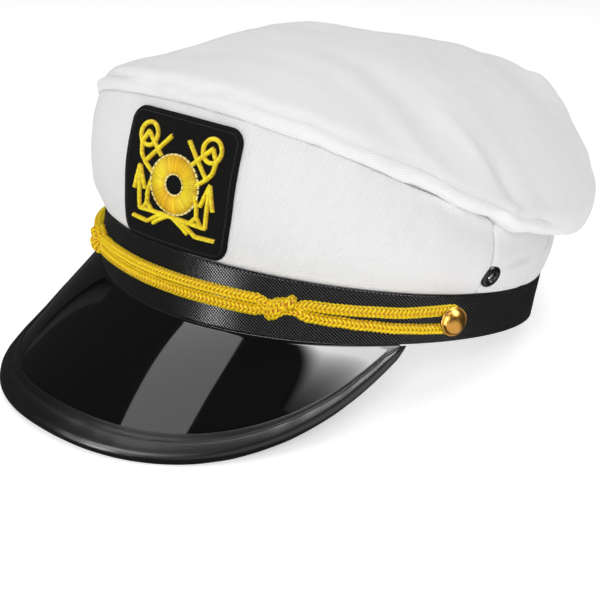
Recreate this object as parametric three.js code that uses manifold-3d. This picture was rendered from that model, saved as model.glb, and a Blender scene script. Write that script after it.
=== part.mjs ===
// Sailor hat: a peaked cap with a white twill crown, black ribbon band, glossy black peak,
// gold braided cord with two knots and two buttons, vent eyelets and an embroidered badge.
// Millimetres, +Z up, the peak towards -Y, the wearer's left towards +X.
// Angles run round the head opening: 0 is the middle of the front, 90 the wearer's left side.

import * as THREE from 'three';
import Module from 'manifold-3d';

const wasm = await Module();
wasm.setup();

// Gap between pieces that touch on the real hat
const seatGap = 0.3;

// Band, and with it the head opening
const halfWidth = 95;
const halfLength = 97;
const bandHeight = 25;
const bandFlare = 0.5;
const bandWall = 2;
const bandSideRise = 6.6;
const bandTopDip = 0.9;
const bandPressedFlat = 1.2;

// Crown cloth and its cut, at angles from the front to the rear
const clothWall = 1.6;
const crownTuck = 5;
const sectionStep = 30;
const crownSections = [
  { seamOut: -1.5, seamHeight: 79, rollOut: 3, rollHeight: 9.5, bulge: 3 },
  { seamOut: 6, seamHeight: 75.5, rollOut: 1, rollHeight: 8, bulge: 5.5 },
  { seamOut: 4, seamHeight: 61.7, rollOut: 6.6, rollHeight: 7, bulge: 5 },
  { seamOut: 1, seamHeight: 49.7, rollOut: 13, rollHeight: 10.5, bulge: 3.4 },
  { seamOut: 1, seamHeight: 52.5, rollOut: 15.5, rollHeight: 17, bulge: 2.7 },
  { seamOut: 1, seamHeight: 61.5, rollOut: 15.5, rollHeight: 30, bulge: 3.3 },
  { seamOut: 1.5, seamHeight: 65, rollOut: 15.5, rollHeight: 35, bulge: 3.5 },
];
const domeHeight = 113;
const domePower = 2.4;
const domeSetback = 32;
const frontSeamAngle = 76.5;
const rearSeamAngle = 95;
const rearSeamLean = 13;

// Slack folds of the top panel, in plan: a valley from one point to another
const folds = [
  { fromX: 20, fromY: -42, toX: 99, toY: -39, width: 13, depth: 2.6 },
  { fromX: 84, fromY: -24, toX: 105, toY: -15, width: 9, depth: 2.2 },
];

// Peak
const peakDepth = 63.5;
const peakEnd = 60;
const peakCut = 58.5;
const peakWall = 1.8;
const peakLift = 3;
const peakDrop = 36.5;
const peakSideDrop = 30;
const peakSplay = 0.28;
const peakTuck = 1.4;
const peakCorner = { power: 3.04, root: 0.93 };
const peakCrowding = 75;

// Rolled binding on the peak's edge
const bindingFlange = 11;
const bindingFlangeWall = 0.8;
const beadWidth = 8;
const beadHalfHeight = 3;
const bindingLip = 7;
const bindingGap = 0.5;
const peakInset = 1.6;

// Braided cord, as heights above the band's lower edge
const cordRadius = 2.1;
const cordSqueezed = 1.15;
const cordRoute = [
  { angle: 0, upper: 15.8, lower: 11.4 },
  { angle: 12, upper: 15.7, lower: 11.3 },
  { angle: 25.5, upper: 15.1, lower: 10.8 },
  { angle: 26.4, upper: 14.2, lower: 11.6 },
  { angle: 35, upper: 14.2, lower: 11.6 },
  { angle: 35.9, upper: 14.7, lower: 10.4 },
  { angle: 43, upper: 14.1, lower: 9.4 },
  { angle: 48, upper: 13.8, lower: 8.5 },
  { angle: 57, upper: 13.3, lower: 7.3 },
  { angle: 64, upper: 13.6, lower: 6.8 },
];
const knotAngle = 30.7;
const knotHeight = 12.9;
const knotSpan = 4.3;
const knotTurn = {
  halfWidth: 2.5, halfThickness: 1.4, apart: 2.3, lean: 1.6, rootOut: 2.2, halfTall: 4.4, deep: 3.5,
};

// Buttons at the ends of the cord
const buttonAngle = 68.7;
const buttonHeight = 10.2;
const buttonRadius = 5.8;
const buttonDome = 3.4;
const buttonRim = 0.9;
const shankRadius = 1.3;

// Vent eyelets in the side wall
const eyeletAngle = 77.5;
const eyeletRise = 0.29;
const eyeletRadius = 4.6;
const eyeletHole = 2.2;
const eyeletBarrel = 3;
const eyeletFlange = 1;

// Badge on the front of the crown
const patchWidth = 56;
const patchHeight = 49;
const patchCorner = 6;
const patchWall = 1.3;
const patchFoot = 1.6;
const patchOffset = 3.5;
const patchNarrowing = 0.04;
const threadHeight = 1.1;
const ringRadius = 11.6;
const ringHole = 4.4;
const ringSwell = 1.5;
const shackle = { across: 16.3, up: 14.9, radius: 4.3, line: 1.7 };
// Bars of one anchor, in millimetres from the middle of the badge; the other anchor mirrors them
const anchorBars = [
  [[4.7, 16.2], [15.8, 4.7]],
  [[16.6, 15.8], [8.2, 8.3]],
  [[16.6, 15.8], [19, 11.6]],
  [[19.2, 12.2], [18.4, 7.2], [15.9, 4.4], [11.8, 1.6]],
  [[18.2, 2.8], [14.7, -5.4]],
  [[18.2, 2.8], [20.4, -6]],
  [[18.1, 0.5], [17.5, -13.4], [9.5, -13.1], [-1, -13]],
  [[11.6, -2], [13, -6.5], [13.1, -10.1]],
  [[13.1, -10.1], [10, -13.1]],
  [[13.1, -10.1], [15.4, -13.1]],
  [[21.6, -17.2], [12.9, -17.6], [6.8, -14], [3, -13.2]],
  [[9.2, -17.4], [6.4, -15.6], [2, -13.4]],
];
const anchorLine = 1.7;

// Fineness of the faceted surfaces
const roundStep = 9;
const bandStep = 6;
const cordStep = 5.4;
const threadStep = 9;
const peakSteps = 26;
const wallRises = [0.1, 0.25, 0.45, 0.65, 0.84, 1];

const radians = THREE.MathUtils.degToRad;
const steps = (count) => Array.from({ length: count + 1 }, (_, i) => i / count);

// Points from one angle to another, in equal steps no longer than the given one
function angles(from, to, longest) {
  const count = Math.ceil((to - from) / longest);
  return steps(count).map((share) => from + share * (to - from));
}

// A value of the crown's table at any angle, blended smoothly and alike on both sides
function crownValue(column, angle) {
  const last = crownSections.length - 1;
  const wrapped = Math.abs(((angle + 180) % 360 + 360) % 360 - 180);
  const place = wrapped / sectionStep;
  const row = Math.min(Math.floor(place), last - 1);
  const at = (index) => crownSections[last - Math.abs(last - Math.abs(index))][column];
  const [a, b, c, d] = [at(row - 1), at(row), at(row + 1), at(row + 2)];
  const t = place - row;
  const bend = 2 * a - 5 * b + 4 * c - d;
  const twist = 3 * (b - c) + d - a;
  return b + 0.5 * t * (c - a + t * (bend + t * twist));
}

const around = (angle) => new THREE.Vector3(Math.cos(radians(angle)), Math.sin(radians(angle)), 0);
const outward = (angle) => new THREE.Vector3(Math.sin(radians(angle)), -Math.cos(radians(angle)), 0);

// A point beside the head opening's oval
function ovalPoint(angle, out, height) {
  const x = (halfWidth + out) * Math.sin(radians(angle));
  const y = -(halfLength + out) * Math.cos(radians(angle));
  return new THREE.Vector3(x, y, height);
}

const bandBottom = (angle) => bandSideRise * Math.sin(radians(angle)) ** 2;
const bandTop = (angle) => bandHeight - bandTopDip * Math.sin(radians(angle)) ** 2;

// A point on the crown's wall: rise is 0 at the band and 1 at the seam of the top panel
function wallPoint(angle, rise, out = 0) {
  const seamOut = crownValue('seamOut', angle);
  const swell = crownValue('bulge', angle) * Math.sin(Math.PI * rise);
  const foot = bandTop(angle);
  const height = foot + rise * (crownValue('seamHeight', angle) - foot);
  return ovalPoint(angle, seamOut * rise + swell + out, height);
}

// How far the folds pull the top panel down at a point in plan
function foldDepth(point) {
  let depth = 0;
  for (const fold of folds) {
    const start = new THREE.Vector2(fold.fromX, fold.fromY);
    const run = new THREE.Vector2(fold.toX, fold.toY).sub(start);
    const offset = new THREE.Vector2(point.x, point.y).sub(start);
    const share = THREE.MathUtils.clamp(offset.dot(run) / run.lengthSq(), 0, 1);
    const away = offset.addScaledVector(run, -share).length() / fold.width;
    depth += fold.depth * Math.sin(Math.PI * share) * Math.exp(-away * away * 3);
  }
  return depth;
}

// The outer side of the top panel at one angle, from its seam over the roll to the middle
function topSection(angle) {
  const seamOut = crownValue('seamOut', angle);
  const seamHeight = crownValue('seamHeight', angle) + seatGap;
  const rollOut = crownValue('rollOut', angle);
  const rollHeight = crownValue('rollHeight', angle);
  const section = [ovalPoint(angle, seamOut, seamHeight)];
  for (const turn of [-60, -30, 0, 30, 60, 90]) {
    const cosine = Math.cos(radians(turn));
    const reach = turn < 0 ? 0.3 + 0.7 * cosine : 0.55 + 0.45 * cosine;
    const rise = 0.5 + 0.5 * Math.sin(radians(turn));
    section.push(ovalPoint(angle, seamOut + rollOut * reach, seamHeight + rollHeight * rise));
  }
  const rim = section[section.length - 1];
  for (const reach of [0.95, 0.87, 0.75, 0.6, 0.42, 0.22, 0]) {
    const height = domeHeight + (rim.z - domeHeight) * reach ** domePower;
    const point = new THREE.Vector3(rim.x * reach, domeSetback + (rim.y - domeSetback) * reach, height);
    point.z -= foldDepth(point);
    section.push(point);
  }
  return section;
}

// The inner side of a section: the same points, set back by the cloth's thickness
function setBack(section, angle, wall) {
  return section.map((point, i) => {
    const before = section[Math.max(i - 1, 0)];
    const after = section[Math.min(i + 1, section.length - 1)];
    const along = after.clone().sub(before).normalize();
    const normal = around(angle).cross(along).normalize();
    return point.clone().addScaledVector(normal, -wall);
  });
}

// One closed body from points and triangles; points in the same place become one
function solid(points, triangles) {
  const places = new Map();
  const positions = [];
  const indexOf = points.map((point) => {
    const key = point.toArray().map((value) => value.toFixed(4)).join(' ');
    if (!places.has(key)) {
      places.set(key, positions.length / 3);
      positions.push(point.x, point.y, point.z);
    }
    return places.get(key);
  });
  const index = [];
  for (const triangle of triangles) {
    const [a, b, c] = triangle.map((corner) => indexOf[corner]);
    if (a !== b && b !== c && a !== c) index.push(a, b, c);
  }
  const geometry = new THREE.BufferGeometry();
  geometry.setAttribute('position', new THREE.Float32BufferAttribute(positions, 3));
  geometry.setIndex(index);
  return facingOut(geometry);
}

function enclosedVolume(geometry) {
  const position = geometry.getAttribute('position');
  const index = geometry.getIndex();
  const corner = (i) => new THREE.Vector3().fromBufferAttribute(position, index.getX(i));
  let volume = 0;
  for (let i = 0; i < index.count; i += 3) {
    volume += corner(i).dot(corner(i + 1).cross(corner(i + 2))) / 6;
  }
  return volume;
}

function facingOut(geometry) {
  if (enclosedVolume(geometry) < 0) {
    const turned = Array.from(geometry.getIndex().array).reverse();
    geometry.setIndex(turned);
  }
  return geometry;
}

// A body through rings of points, capped at its ends or closed on itself.
// The first half of a ring runs one way and the second half runs back beside it.
function loft(rings, isLoop = false) {
  const size = rings[0].length;
  const triangles = [];
  const quad = (a, b, c, d) => triangles.push([a, b, c], [a, c, d]);
  const joins = isLoop ? rings.length : rings.length - 1;
  for (let ring = 0; ring < joins; ring += 1) {
    const here = ring * size;
    const next = ((ring + 1) % rings.length) * size;
    for (let i = 0; i < size; i += 1) {
      const j = (i + 1) % size;
      quad(here + i, here + j, next + j, next + i);
    }
  }
  if (!isLoop) {
    const end = (rings.length - 1) * size;
    for (let i = 0; i < size / 2 - 1; i += 1) {
      quad(i, size - 1 - i, size - 2 - i, i + 1);
      quad(end + i, end + i + 1, end + size - 2 - i, end + size - 1 - i);
    }
  }
  return solid(rings.flat(), triangles);
}

function toManifold(geometry) {
  const vertProperties = new Float32Array(geometry.getAttribute('position').array);
  const triVerts = new Uint32Array(geometry.getIndex().array);
  return new wasm.Manifold(new wasm.Mesh({ numProp: 3, vertProperties, triVerts }));
}

function fromManifold(body) {
  const mesh = body.getMesh();
  const geometry = new THREE.BufferGeometry();
  geometry.setAttribute('position', new THREE.Float32BufferAttribute(mesh.vertProperties, 3));
  geometry.setIndex(Array.from(mesh.triVerts));
  return geometry;
}

const joined = (geometries) => fromManifold(geometries.map(toManifold).reduce((sum, body) => sum.add(body)));

// Materials
const paint = (color, roughness, metalness = 0) => (
  new THREE.MeshStandardMaterial({ color, roughness, metalness })
);
const whiteTwill = () => paint('#eeeeee', 0.9);
const blackRibbon = () => paint('#1b1b1c', 0.55);
const glossyPlastic = () => paint('#0c0c0d', 0.12);
const bindingPlastic = () => paint('#161616', 0.3);
const goldBraid = () => paint('#f0b81e', 0.6);
const polishedBrass = () => paint('#c9962e', 0.25, 1);
const blackMetal = () => paint('#141414', 0.35, 0.8);
const badgeCloth = () => paint('#1d1d1f', 0.85);
const goldThread = () => paint('#f2cf1f', 0.5);

// The hat stands tilted back on the peak's edge and on the rear of its band
const root = new THREE.Group();
const tilted = new THREE.Group();
const hat = new THREE.Group();
root.add(tilted);
tilted.add(hat);

function addPiece(name, geometry, material, parent = hat) {
  const mesh = new THREE.Mesh(geometry, material);
  mesh.name = name;
  parent.add(mesh);
  return mesh;
}

// Peak
const peakReach = (angle) => {
  const share = Math.abs(angle) / peakEnd;
  return peakDepth * (1 - share ** peakCorner.power) ** peakCorner.root;
};

// Directions at the peak: away from the head, and up from its surface
function peakDirections(angle) {
  const drop = radians(peakDrop + peakSideDrop * (1 - Math.cos(radians(angle))));
  const level = outward(peakSplay * angle);
  const up = new THREE.Vector3(0, 0, 1);
  const away = level.clone().multiplyScalar(Math.cos(drop)).addScaledVector(up, -Math.sin(drop));
  const normal = level.clone().multiplyScalar(Math.sin(drop)).addScaledVector(up, Math.cos(drop));
  return { away, normal };
}

function peakPoint(angle, share) {
  const { away, normal } = peakDirections(angle);
  const reach = peakReach(angle);
  const lift = 4 * share * (1 - share) * peakLift * (reach / peakDepth);
  const foot = ovalPoint(angle, 0, bandBottom(angle) - seatGap * (1 - share));
  return foot.addScaledVector(away, reach * share).addScaledVector(normal, lift);
}

// Places round the peak, closer together towards its corners
const peakAngles = steps(peakSteps).map((share) => (
  (peakCut * Math.sin(radians((2 * share - 1) * peakCrowding))) / Math.sin(radians(peakCrowding))
));

// The binding narrows with the peak towards the corners
const bindingNarrow = (angle) => Math.min(1, peakReach(angle) / (bindingFlange + 2));

// A point over the peak's surface, by distance in from its outer edge
function peakEdgePoint(angle, along, above) {
  const inward = along < 0 ? along * bindingNarrow(angle) : along;
  return peakPoint(angle, 1 + inward / peakReach(angle)).addScaledVector(peakDirections(angle).normal, above);
}

function peakRing(angle) {
  const { normal } = peakDirections(angle);
  const up = new THREE.Vector3(0, 0, 1);
  const foot = bandBottom(angle) - seatGap;
  const flangeShare = 1 - (bindingFlange * bindingNarrow(angle)) / peakReach(angle);
  const top = [ovalPoint(angle, -peakTuck, foot), ovalPoint(angle, 0, foot)];
  const normals = [up, up.clone().add(normal).normalize()];
  for (const share of [0.25, 0.5, 0.75, 1]) {
    top.push(peakPoint(angle, share * flangeShare));
    normals.push(normal);
  }
  for (const along of [-0.5 * bindingFlange, -peakInset]) {
    top.push(peakEdgePoint(angle, along, 0));
    normals.push(normal);
  }
  const under = top.map((point, i) => point.clone().addScaledVector(normals[i], -peakWall));
  return [...top, ...under.reverse()];
}
addPiece('peak', loft(peakAngles.map(peakRing)), glossyPlastic());

// Binding: a flat flange, a round bead over the edge and a lip under it
function bindingSection() {
  const outer = [
    { along: -bindingFlange, above: bindingGap + bindingFlangeWall },
    { along: -beadWidth - 0.2, above: bindingGap + bindingFlangeWall },
  ];
  for (const turn of [150, 115, 80, 40, 0, -35, -90]) {
    const along = (beadWidth / 2) * (Math.cos(radians(turn)) - 1);
    outer.push({ along, above: beadHalfHeight * Math.sin(radians(turn)) });
  }
  outer.push({ along: -bindingLip, above: -beadHalfHeight });
  const inner = outer.map(({ along, above }) => ({
    along: Math.min(along, -peakInset + bindingGap),
    above: THREE.MathUtils.clamp(above, -peakWall - bindingGap, bindingGap),
  }));
  return [...outer, ...inner.reverse()];
}
const bindingRings = peakAngles.map((angle) => (
  bindingSection().map(({ along, above }) => peakEdgePoint(angle, along, above))
));
addPiece('peak_binding', loft(bindingRings), bindingPlastic());

// The plane that the hat stands on: through the pressed rear of the band and the peak's lowest points
const restSlope = Math.max(...bindingRings.flat().map((point) => (
  (bandPressedFlat - point.z) / (halfLength - point.y)
)));
const restHeight = (point) => bandPressedFlat + (point.y - halfLength) * restSlope;

// Band
function bandRing(angle) {
  const foot = (out) => {
    const point = ovalPoint(angle, out, bandBottom(angle));
    point.z = Math.max(point.z, restHeight(point));
    return point;
  };
  const top = bandTop(angle);
  const outer = [foot(0), ovalPoint(angle, bandFlare, top)];
  const inner = [ovalPoint(angle, bandFlare - bandWall, top), foot(-bandWall)];
  return [...outer, ...inner];
}
const fullTurn = angles(-180, 180, bandStep).slice(1);
addPiece('band', loft(fullTurn.map(bandRing), true), blackRibbon());

// Where a side seam of the crown's wall runs: the rear ones lean back as they rise
function seamAngle(seam, rise) {
  const isRear = Math.cos(radians(seam)) < 0;
  return isRear ? seam + Math.sign(Math.sin(radians(seam))) * rearSeamLean * rise : seam;
}

// Crown wall: panels that tuck into the band and rise to the seam of the top panel
const halfSeam = (seatGap * 90) / (Math.PI * halfLength);
function wallRing(from, to, share) {
  const angleAt = (rise) => {
    const start = seamAngle(from, rise) + halfSeam;
    return start + share * (seamAngle(to, rise) - halfSeam - start);
  };
  const foot = angleAt(0);
  const tucked = bandFlare - bandWall - seatGap;
  const outer = [
    ovalPoint(foot, tucked, bandTop(foot) - crownTuck),
    ovalPoint(foot, tucked, bandTop(foot) + seatGap),
  ];
  for (const rise of wallRises) {
    outer.push(wallPoint(angleAt(rise), rise));
  }
  return [...outer, ...setBack(outer, angleAt(0.5), clothWall).reverse()];
}

const wallPanel = (from, to) => (
  loft(steps(Math.ceil((to - from) / roundStep)).map((share) => wallRing(from, to, share)))
);

// Where an eyelet sits on the wall, and the turn that stands its axis along the wall's normal
function eyeletFrame(angle) {
  const seat = wallPoint(angle, eyeletRise);
  const above = wallPoint(angle, eyeletRise + 0.05);
  const beside = wallPoint(angle + 1, eyeletRise);
  const normal = beside.sub(seat).cross(above.sub(seat)).normalize();
  return { seat, turn: new THREE.Quaternion().setFromUnitVectors(new THREE.Vector3(0, 1, 0), normal) };
}

function placed(geometry, frame) {
  return geometry.applyQuaternion(frame.turn).translate(frame.seat.x, frame.seat.y, frame.seat.z);
}

function latheSolid(profile, sides) {
  const rings = steps(sides).slice(1).map((share) => profile.map(([radius, height]) => new THREE.Vector3(
    radius * Math.cos(2 * Math.PI * share), height, radius * Math.sin(2 * Math.PI * share),
  )));
  return loft(rings, true);
}

const eyeletSides = 12;

// A cylinder that crosses the wall at an eyelet, to cut its hole
function eyeletCutter(angle) {
  const radius = eyeletBarrel + seatGap;
  const depth = 4 * clothWall;
  const profile = [[0, -depth], [radius, -depth], [radius, depth], [0, depth]];
  return placed(latheSolid(profile, eyeletSides), eyeletFrame(angle));
}

function withEyeletHole(panel, angle) {
  return fromManifold(toManifold(panel).subtract(toManifold(eyeletCutter(angle))));
}

const frontPanel = withEyeletHole(wallPanel(-frontSeamAngle, frontSeamAngle), eyeletAngle);
addPiece('crown_front', withEyeletHole(frontPanel, -eyeletAngle), whiteTwill());
const leftPanel = wallPanel(frontSeamAngle, rearSeamAngle);
const rightPanel = wallPanel(-rearSeamAngle, -frontSeamAngle);
addPiece('crown_side_left', withEyeletHole(leftPanel, eyeletAngle), whiteTwill());
addPiece('crown_side_right', withEyeletHole(rightPanel, -eyeletAngle), whiteTwill());
addPiece('crown_back', wallPanel(rearSeamAngle, 360 - rearSeamAngle), whiteTwill());

// Top panel
function topRing(angle) {
  const outer = topSection(angle);
  const inner = setBack(outer, angle, clothWall);
  const middle = outer[outer.length - 1];
  inner[inner.length - 1] = new THREE.Vector3(middle.x, middle.y, middle.z - clothWall);
  return [...outer, ...inner.reverse()];
}
addPiece('crown_top', loft(angles(-180, 180, roundStep).slice(1).map(topRing), true), whiteTwill());

// Eyelets: a turned ring with a flange outside and a barrel through the cloth
function eyelet(angle) {
  const profile = [
    [eyeletHole, -clothWall - 1.2],
    [eyeletHole, eyeletFlange * 0.6 + seatGap],
    [eyeletHole + 0.7, eyeletFlange + seatGap],
    [eyeletRadius - 0.6, eyeletFlange * 0.8 + seatGap],
    [eyeletRadius, seatGap],
    [eyeletBarrel, seatGap],
    [eyeletBarrel, -clothWall - 0.6],
    [eyeletBarrel - 0.2, -clothWall - 1.2],
  ];
  return placed(latheSolid(profile, eyeletSides), eyeletFrame(angle));
}
addPiece('eyelet_left', eyelet(eyeletAngle), blackMetal());
addPiece('eyelet_right', eyelet(-eyeletAngle), blackMetal());

// A point above the band's outer face, by height over the band's lower edge
const onBand = (angle, out, height) => ovalPoint(angle, out, bandBottom(angle) + height);

// Cord: one closed loop, its upper and lower strands joined by a turn round each button's shank
function cordHeight(strand, angle) {
  const side = Math.abs(angle);
  const row = cordRoute.findIndex((place) => place.angle > side);
  if (row < 0) return cordRoute[cordRoute.length - 1][strand];
  const [low, high] = [cordRoute[row - 1], cordRoute[row]];
  const share = (side - low.angle) / (high.angle - low.angle);
  return low[strand] + (high[strand] - low[strand]) * share * share * (3 - 2 * share);
}

const cordOut = cordRadius + seatGap + 0.1;
const turnRadius = cordRadius + seatGap + shankRadius;
const perDegree = (Math.PI * halfLength) / 180;
const strandEnd = cordRoute[cordRoute.length - 1].angle;
const knotStart = knotAngle - knotSpan;
const knotFinish = knotAngle + knotSpan;
const halfStrand = [
  ...angles(cordStep / 2, knotStart - 0.9, cordStep),
  knotStart,
  knotFinish,
  ...angles(knotFinish + 0.9, strandEnd, cordStep),
];
const strandAngles = [...halfStrand.map((angle) => -angle).reverse(), ...halfStrand];

function cordPath() {
  const path = strandAngles.map((angle) => onBand(angle, cordOut, cordHeight('upper', angle)));
  const turn = (side, towards) => {
    for (const bend of [90, 60, 30, 0, -30, -60, -90]) {
      const angle = side * (buttonAngle + (turnRadius * Math.cos(radians(bend))) / perDegree);
      path.push(onBand(angle, cordOut, buttonHeight + towards * turnRadius * Math.sin(radians(bend))));
    }
  };
  turn(1, 1);
  for (const angle of [...strandAngles].reverse()) {
    path.push(onBand(angle, cordOut, cordHeight('lower', angle)));
  }
  turn(-1, -1);
  return path;
}

const isInKnot = (point) => {
  const angle = THREE.MathUtils.radToDeg(Math.atan2(Math.abs(point.x) / halfWidth, -point.y / halfLength));
  return Math.abs(angle - knotAngle) < knotSpan + 0.1;
};

function cord() {
  const path = cordPath();
  const sides = 8;
  const rings = path.map((point, i) => {
    const before = path[(i + path.length - 1) % path.length];
    const after = path[(i + 1) % path.length];
    const along = after.clone().sub(before).normalize();
    const out = new THREE.Vector3(point.x, point.y, 0).normalize();
    const across = out.clone().cross(along).normalize();
    const radius = isInKnot(point) ? cordSqueezed : cordRadius;
    return steps(sides).slice(1).map((share) => point.clone()
      .addScaledVector(out, radius * Math.cos(2 * Math.PI * share))
      .addScaledVector(across, radius * Math.sin(2 * Math.PI * share)));
  });
  return loft(rings, true);
}
addPiece('cord', cord(), goldBraid());

// Knots: two leaning turns of cord over both strands, joined into one lump
function knotTurnBody(side, offset) {
  const rings = [115, 85, 55, 20, -20, -55, -85, -115].map((turn) => {
    const out = knotTurn.rootOut + knotTurn.deep * Math.cos(radians(turn));
    const up = knotTurn.halfTall * Math.sin(radians(turn));
    const slide = offset + knotTurn.lean * Math.sin(radians(turn));
    const angle = side * (knotAngle + slide / perDegree);
    const centre = onBand(angle, Math.max(out, knotTurn.halfThickness + seatGap), knotHeight + up);
    const facing = outward(angle).multiplyScalar(Math.cos(radians(turn)));
    facing.z = Math.sin(radians(turn));
    return steps(8).slice(1).map((share) => centre.clone()
      .addScaledVector(around(angle), knotTurn.halfWidth * Math.cos(2 * Math.PI * share))
      .addScaledVector(facing, knotTurn.halfThickness * Math.sin(2 * Math.PI * share)));
  });
  return loft(rings);
}
const knot = (side) => joined([knotTurnBody(side, -knotTurn.apart), knotTurnBody(side, knotTurn.apart)]);
addPiece('knot_left', knot(1), goldBraid());
addPiece('knot_right', knot(-1), goldBraid());

// Buttons: a domed head in front of the cord, on a shank that stands on the band
function button(side) {
  const rear = cordOut + cordRadius + seatGap;
  const profile = [[0, seatGap], [shankRadius, seatGap], [shankRadius, rear], [buttonRadius - 0.5, rear]];
  profile.push([buttonRadius, rear + buttonRim / 2]);
  profile.push([buttonRadius - 0.4, rear + buttonRim]);
  for (const turn of [15, 35, 55, 75, 90]) {
    const radius = (buttonRadius - 0.7) * Math.cos(radians(turn));
    profile.push([radius, rear + buttonRim + (buttonDome - buttonRim) * Math.sin(radians(turn))]);
  }
  profile[profile.length - 1][0] = 0;
  const angle = side * buttonAngle;
  const turn = new THREE.Quaternion().setFromUnitVectors(new THREE.Vector3(0, 1, 0), outward(angle));
  return placed(latheSolid(profile, 16), { seat: onBand(angle, 0, buttonHeight), turn });
}
addPiece('button_left', button(1), polishedBrass());
addPiece('button_right', button(-1), polishedBrass());

// A point in front of the crown, by distance across and up from the middle of the badge
function badgePoint(across, up, out) {
  const narrowed = across * (1 - patchNarrowing * (0.5 - up / patchHeight));
  const angle = THREE.MathUtils.radToDeg((narrowed + patchOffset) / (halfLength + 1));
  const foot = bandTop(angle);
  const rise = (patchFoot + patchHeight / 2 + up) / (crownValue('seamHeight', angle) - foot);
  return wallPoint(angle, rise, out);
}

// Badge cloth: a rounded square that follows the crown
const patchOut = seatGap;
function patchRing(up) {
  const cornerRise = Math.max(0, Math.abs(up) - (patchHeight / 2 - patchCorner));
  const half = patchWidth / 2 - patchCorner + Math.sqrt(Math.max(0, patchCorner ** 2 - cornerRise ** 2));
  const columns = steps(8).map((share) => (2 * share - 1) * half);
  const front = columns.map((across) => badgePoint(across, up, patchOut + patchWall));
  const back = columns.map((across) => badgePoint(across, up, patchOut));
  return [...front, ...back.reverse()];
}
const patchRows = [-1, -0.95, -0.8, -0.5, -0.17, 0.17, 0.5, 0.8, 0.95, 1];
addPiece('patch', loft(patchRows.map((row) => patchRing((row * patchHeight) / 2))), badgeCloth());

// Embroidery: raised lines on the badge cloth, round at the top and flat below
const threadFoot = patchOut + patchWall + seatGap;
const threadSection = [[-1, 0], [-0.6, 1], [0.6, 1], [1, 0]];

function threadRing(x, y, acrossX, acrossY, halfLine, height) {
  return threadSection.map(([side, rise]) => badgePoint(
    x + acrossX * side * halfLine, y + acrossY * side * halfLine, threadFoot + rise * height,
  ));
}

function threadBar(corners, mirror) {
  const halfLine = anchorLine / 2;
  const bodies = [];
  for (let i = 0; i + 1 < corners.length; i += 1) {
    const start = new THREE.Vector2(corners[i][0] * mirror, corners[i][1]);
    const end = new THREE.Vector2(corners[i + 1][0] * mirror, corners[i + 1][1]);
    const run = end.clone().sub(start);
    const step = run.clone().normalize();
    start.addScaledVector(step, -halfLine * 0.5);
    run.addScaledVector(step, halfLine);
    const count = Math.ceil(run.length() / threadStep);
    bodies.push(loft(steps(count).map((share) => {
      const place = start.clone().addScaledVector(run, share);
      return threadRing(place.x, place.y, -step.y, step.x, halfLine, threadHeight);
    })));
  }
  return bodies;
}

function threadLoop(x, y, radius, line, height, sides) {
  return loft(steps(sides).slice(1).map((share) => {
    const [cosine, sine] = [Math.cos(2 * Math.PI * share), Math.sin(2 * Math.PI * share)];
    return threadRing(x + radius * cosine, y + radius * sine, cosine, sine, line / 2, height);
  }), true);
}

const emblemParts = [];
for (const mirror of [-1, 1]) {
  const { across, up, radius, line } = shackle;
  emblemParts.push(threadLoop(mirror * across, up, radius, line, threadHeight, 12));
  anchorBars.forEach((corners) => emblemParts.push(...threadBar(corners, mirror)));
}
const ringMiddle = (ringRadius + ringHole) / 2;
emblemParts.push(threadLoop(0, 0, ringMiddle, ringRadius - ringHole, ringSwell * threadHeight, 24));
addPiece('emblem', joined(emblemParts), goldThread());

// Stand the hat on its base plane, with the middle of its length at the origin
tilted.position.set(0, halfLength, bandPressedFlat);
tilted.rotation.x = -Math.atan(restSlope);
hat.position.set(0, -halfLength, -bandPressedFlat);
root.updateMatrixWorld(true);
const extent = new THREE.Box3().setFromObject(root, true);
root.position.set(0, -(extent.min.y + extent.max.y) / 2, -extent.min.z);
root.updateMatrixWorld(true);

export default root;
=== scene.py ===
"""Sailor hat: the looks of a peaked white cap with its band, peak, cord, buttons and badge.

Sizes are in millimetres in the hat's own frame, where the band stands level, and become metres
in the part's frame, where the hat leans back on the rear of its band and the edge of its peak.
Angles run round the head opening: 0 is the middle of the front, 90 the wearer's left side.
"""

import math

import bmesh
import bpy
import numpy as np
from mathutils import Matrix, Vector


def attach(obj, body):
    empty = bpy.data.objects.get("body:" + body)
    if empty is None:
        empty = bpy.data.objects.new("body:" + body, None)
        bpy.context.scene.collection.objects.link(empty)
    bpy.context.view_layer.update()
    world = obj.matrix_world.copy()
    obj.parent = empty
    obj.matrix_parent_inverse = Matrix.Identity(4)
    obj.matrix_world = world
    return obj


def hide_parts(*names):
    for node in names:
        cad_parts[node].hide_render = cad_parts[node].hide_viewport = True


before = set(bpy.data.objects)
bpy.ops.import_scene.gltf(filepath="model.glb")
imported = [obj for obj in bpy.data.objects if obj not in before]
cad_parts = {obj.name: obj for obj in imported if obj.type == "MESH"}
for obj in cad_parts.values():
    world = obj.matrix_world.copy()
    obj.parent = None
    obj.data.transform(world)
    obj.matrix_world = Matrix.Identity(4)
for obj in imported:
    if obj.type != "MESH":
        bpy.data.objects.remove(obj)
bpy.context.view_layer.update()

# ---------- sizes of the hat, in millimetres and degrees ----------
SEAT_GAP = 0.3
HALF_WIDTH, HALF_LENGTH = 95.0, 97.0
BAND_HEIGHT, BAND_FLARE, BAND_WALL = 25.0, 0.5, 2.0
BAND_SIDE_RISE, BAND_TOP_DIP, BAND_PRESSED = 6.6, 0.9, 1.2
REST_SLOPE = math.tan(math.radians(9.525746))
SHIFT_Y = 11.719895

CLOTH_WALL, CROWN_TUCK, SECTION_STEP = 1.6, 5.0, 30.0
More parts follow.
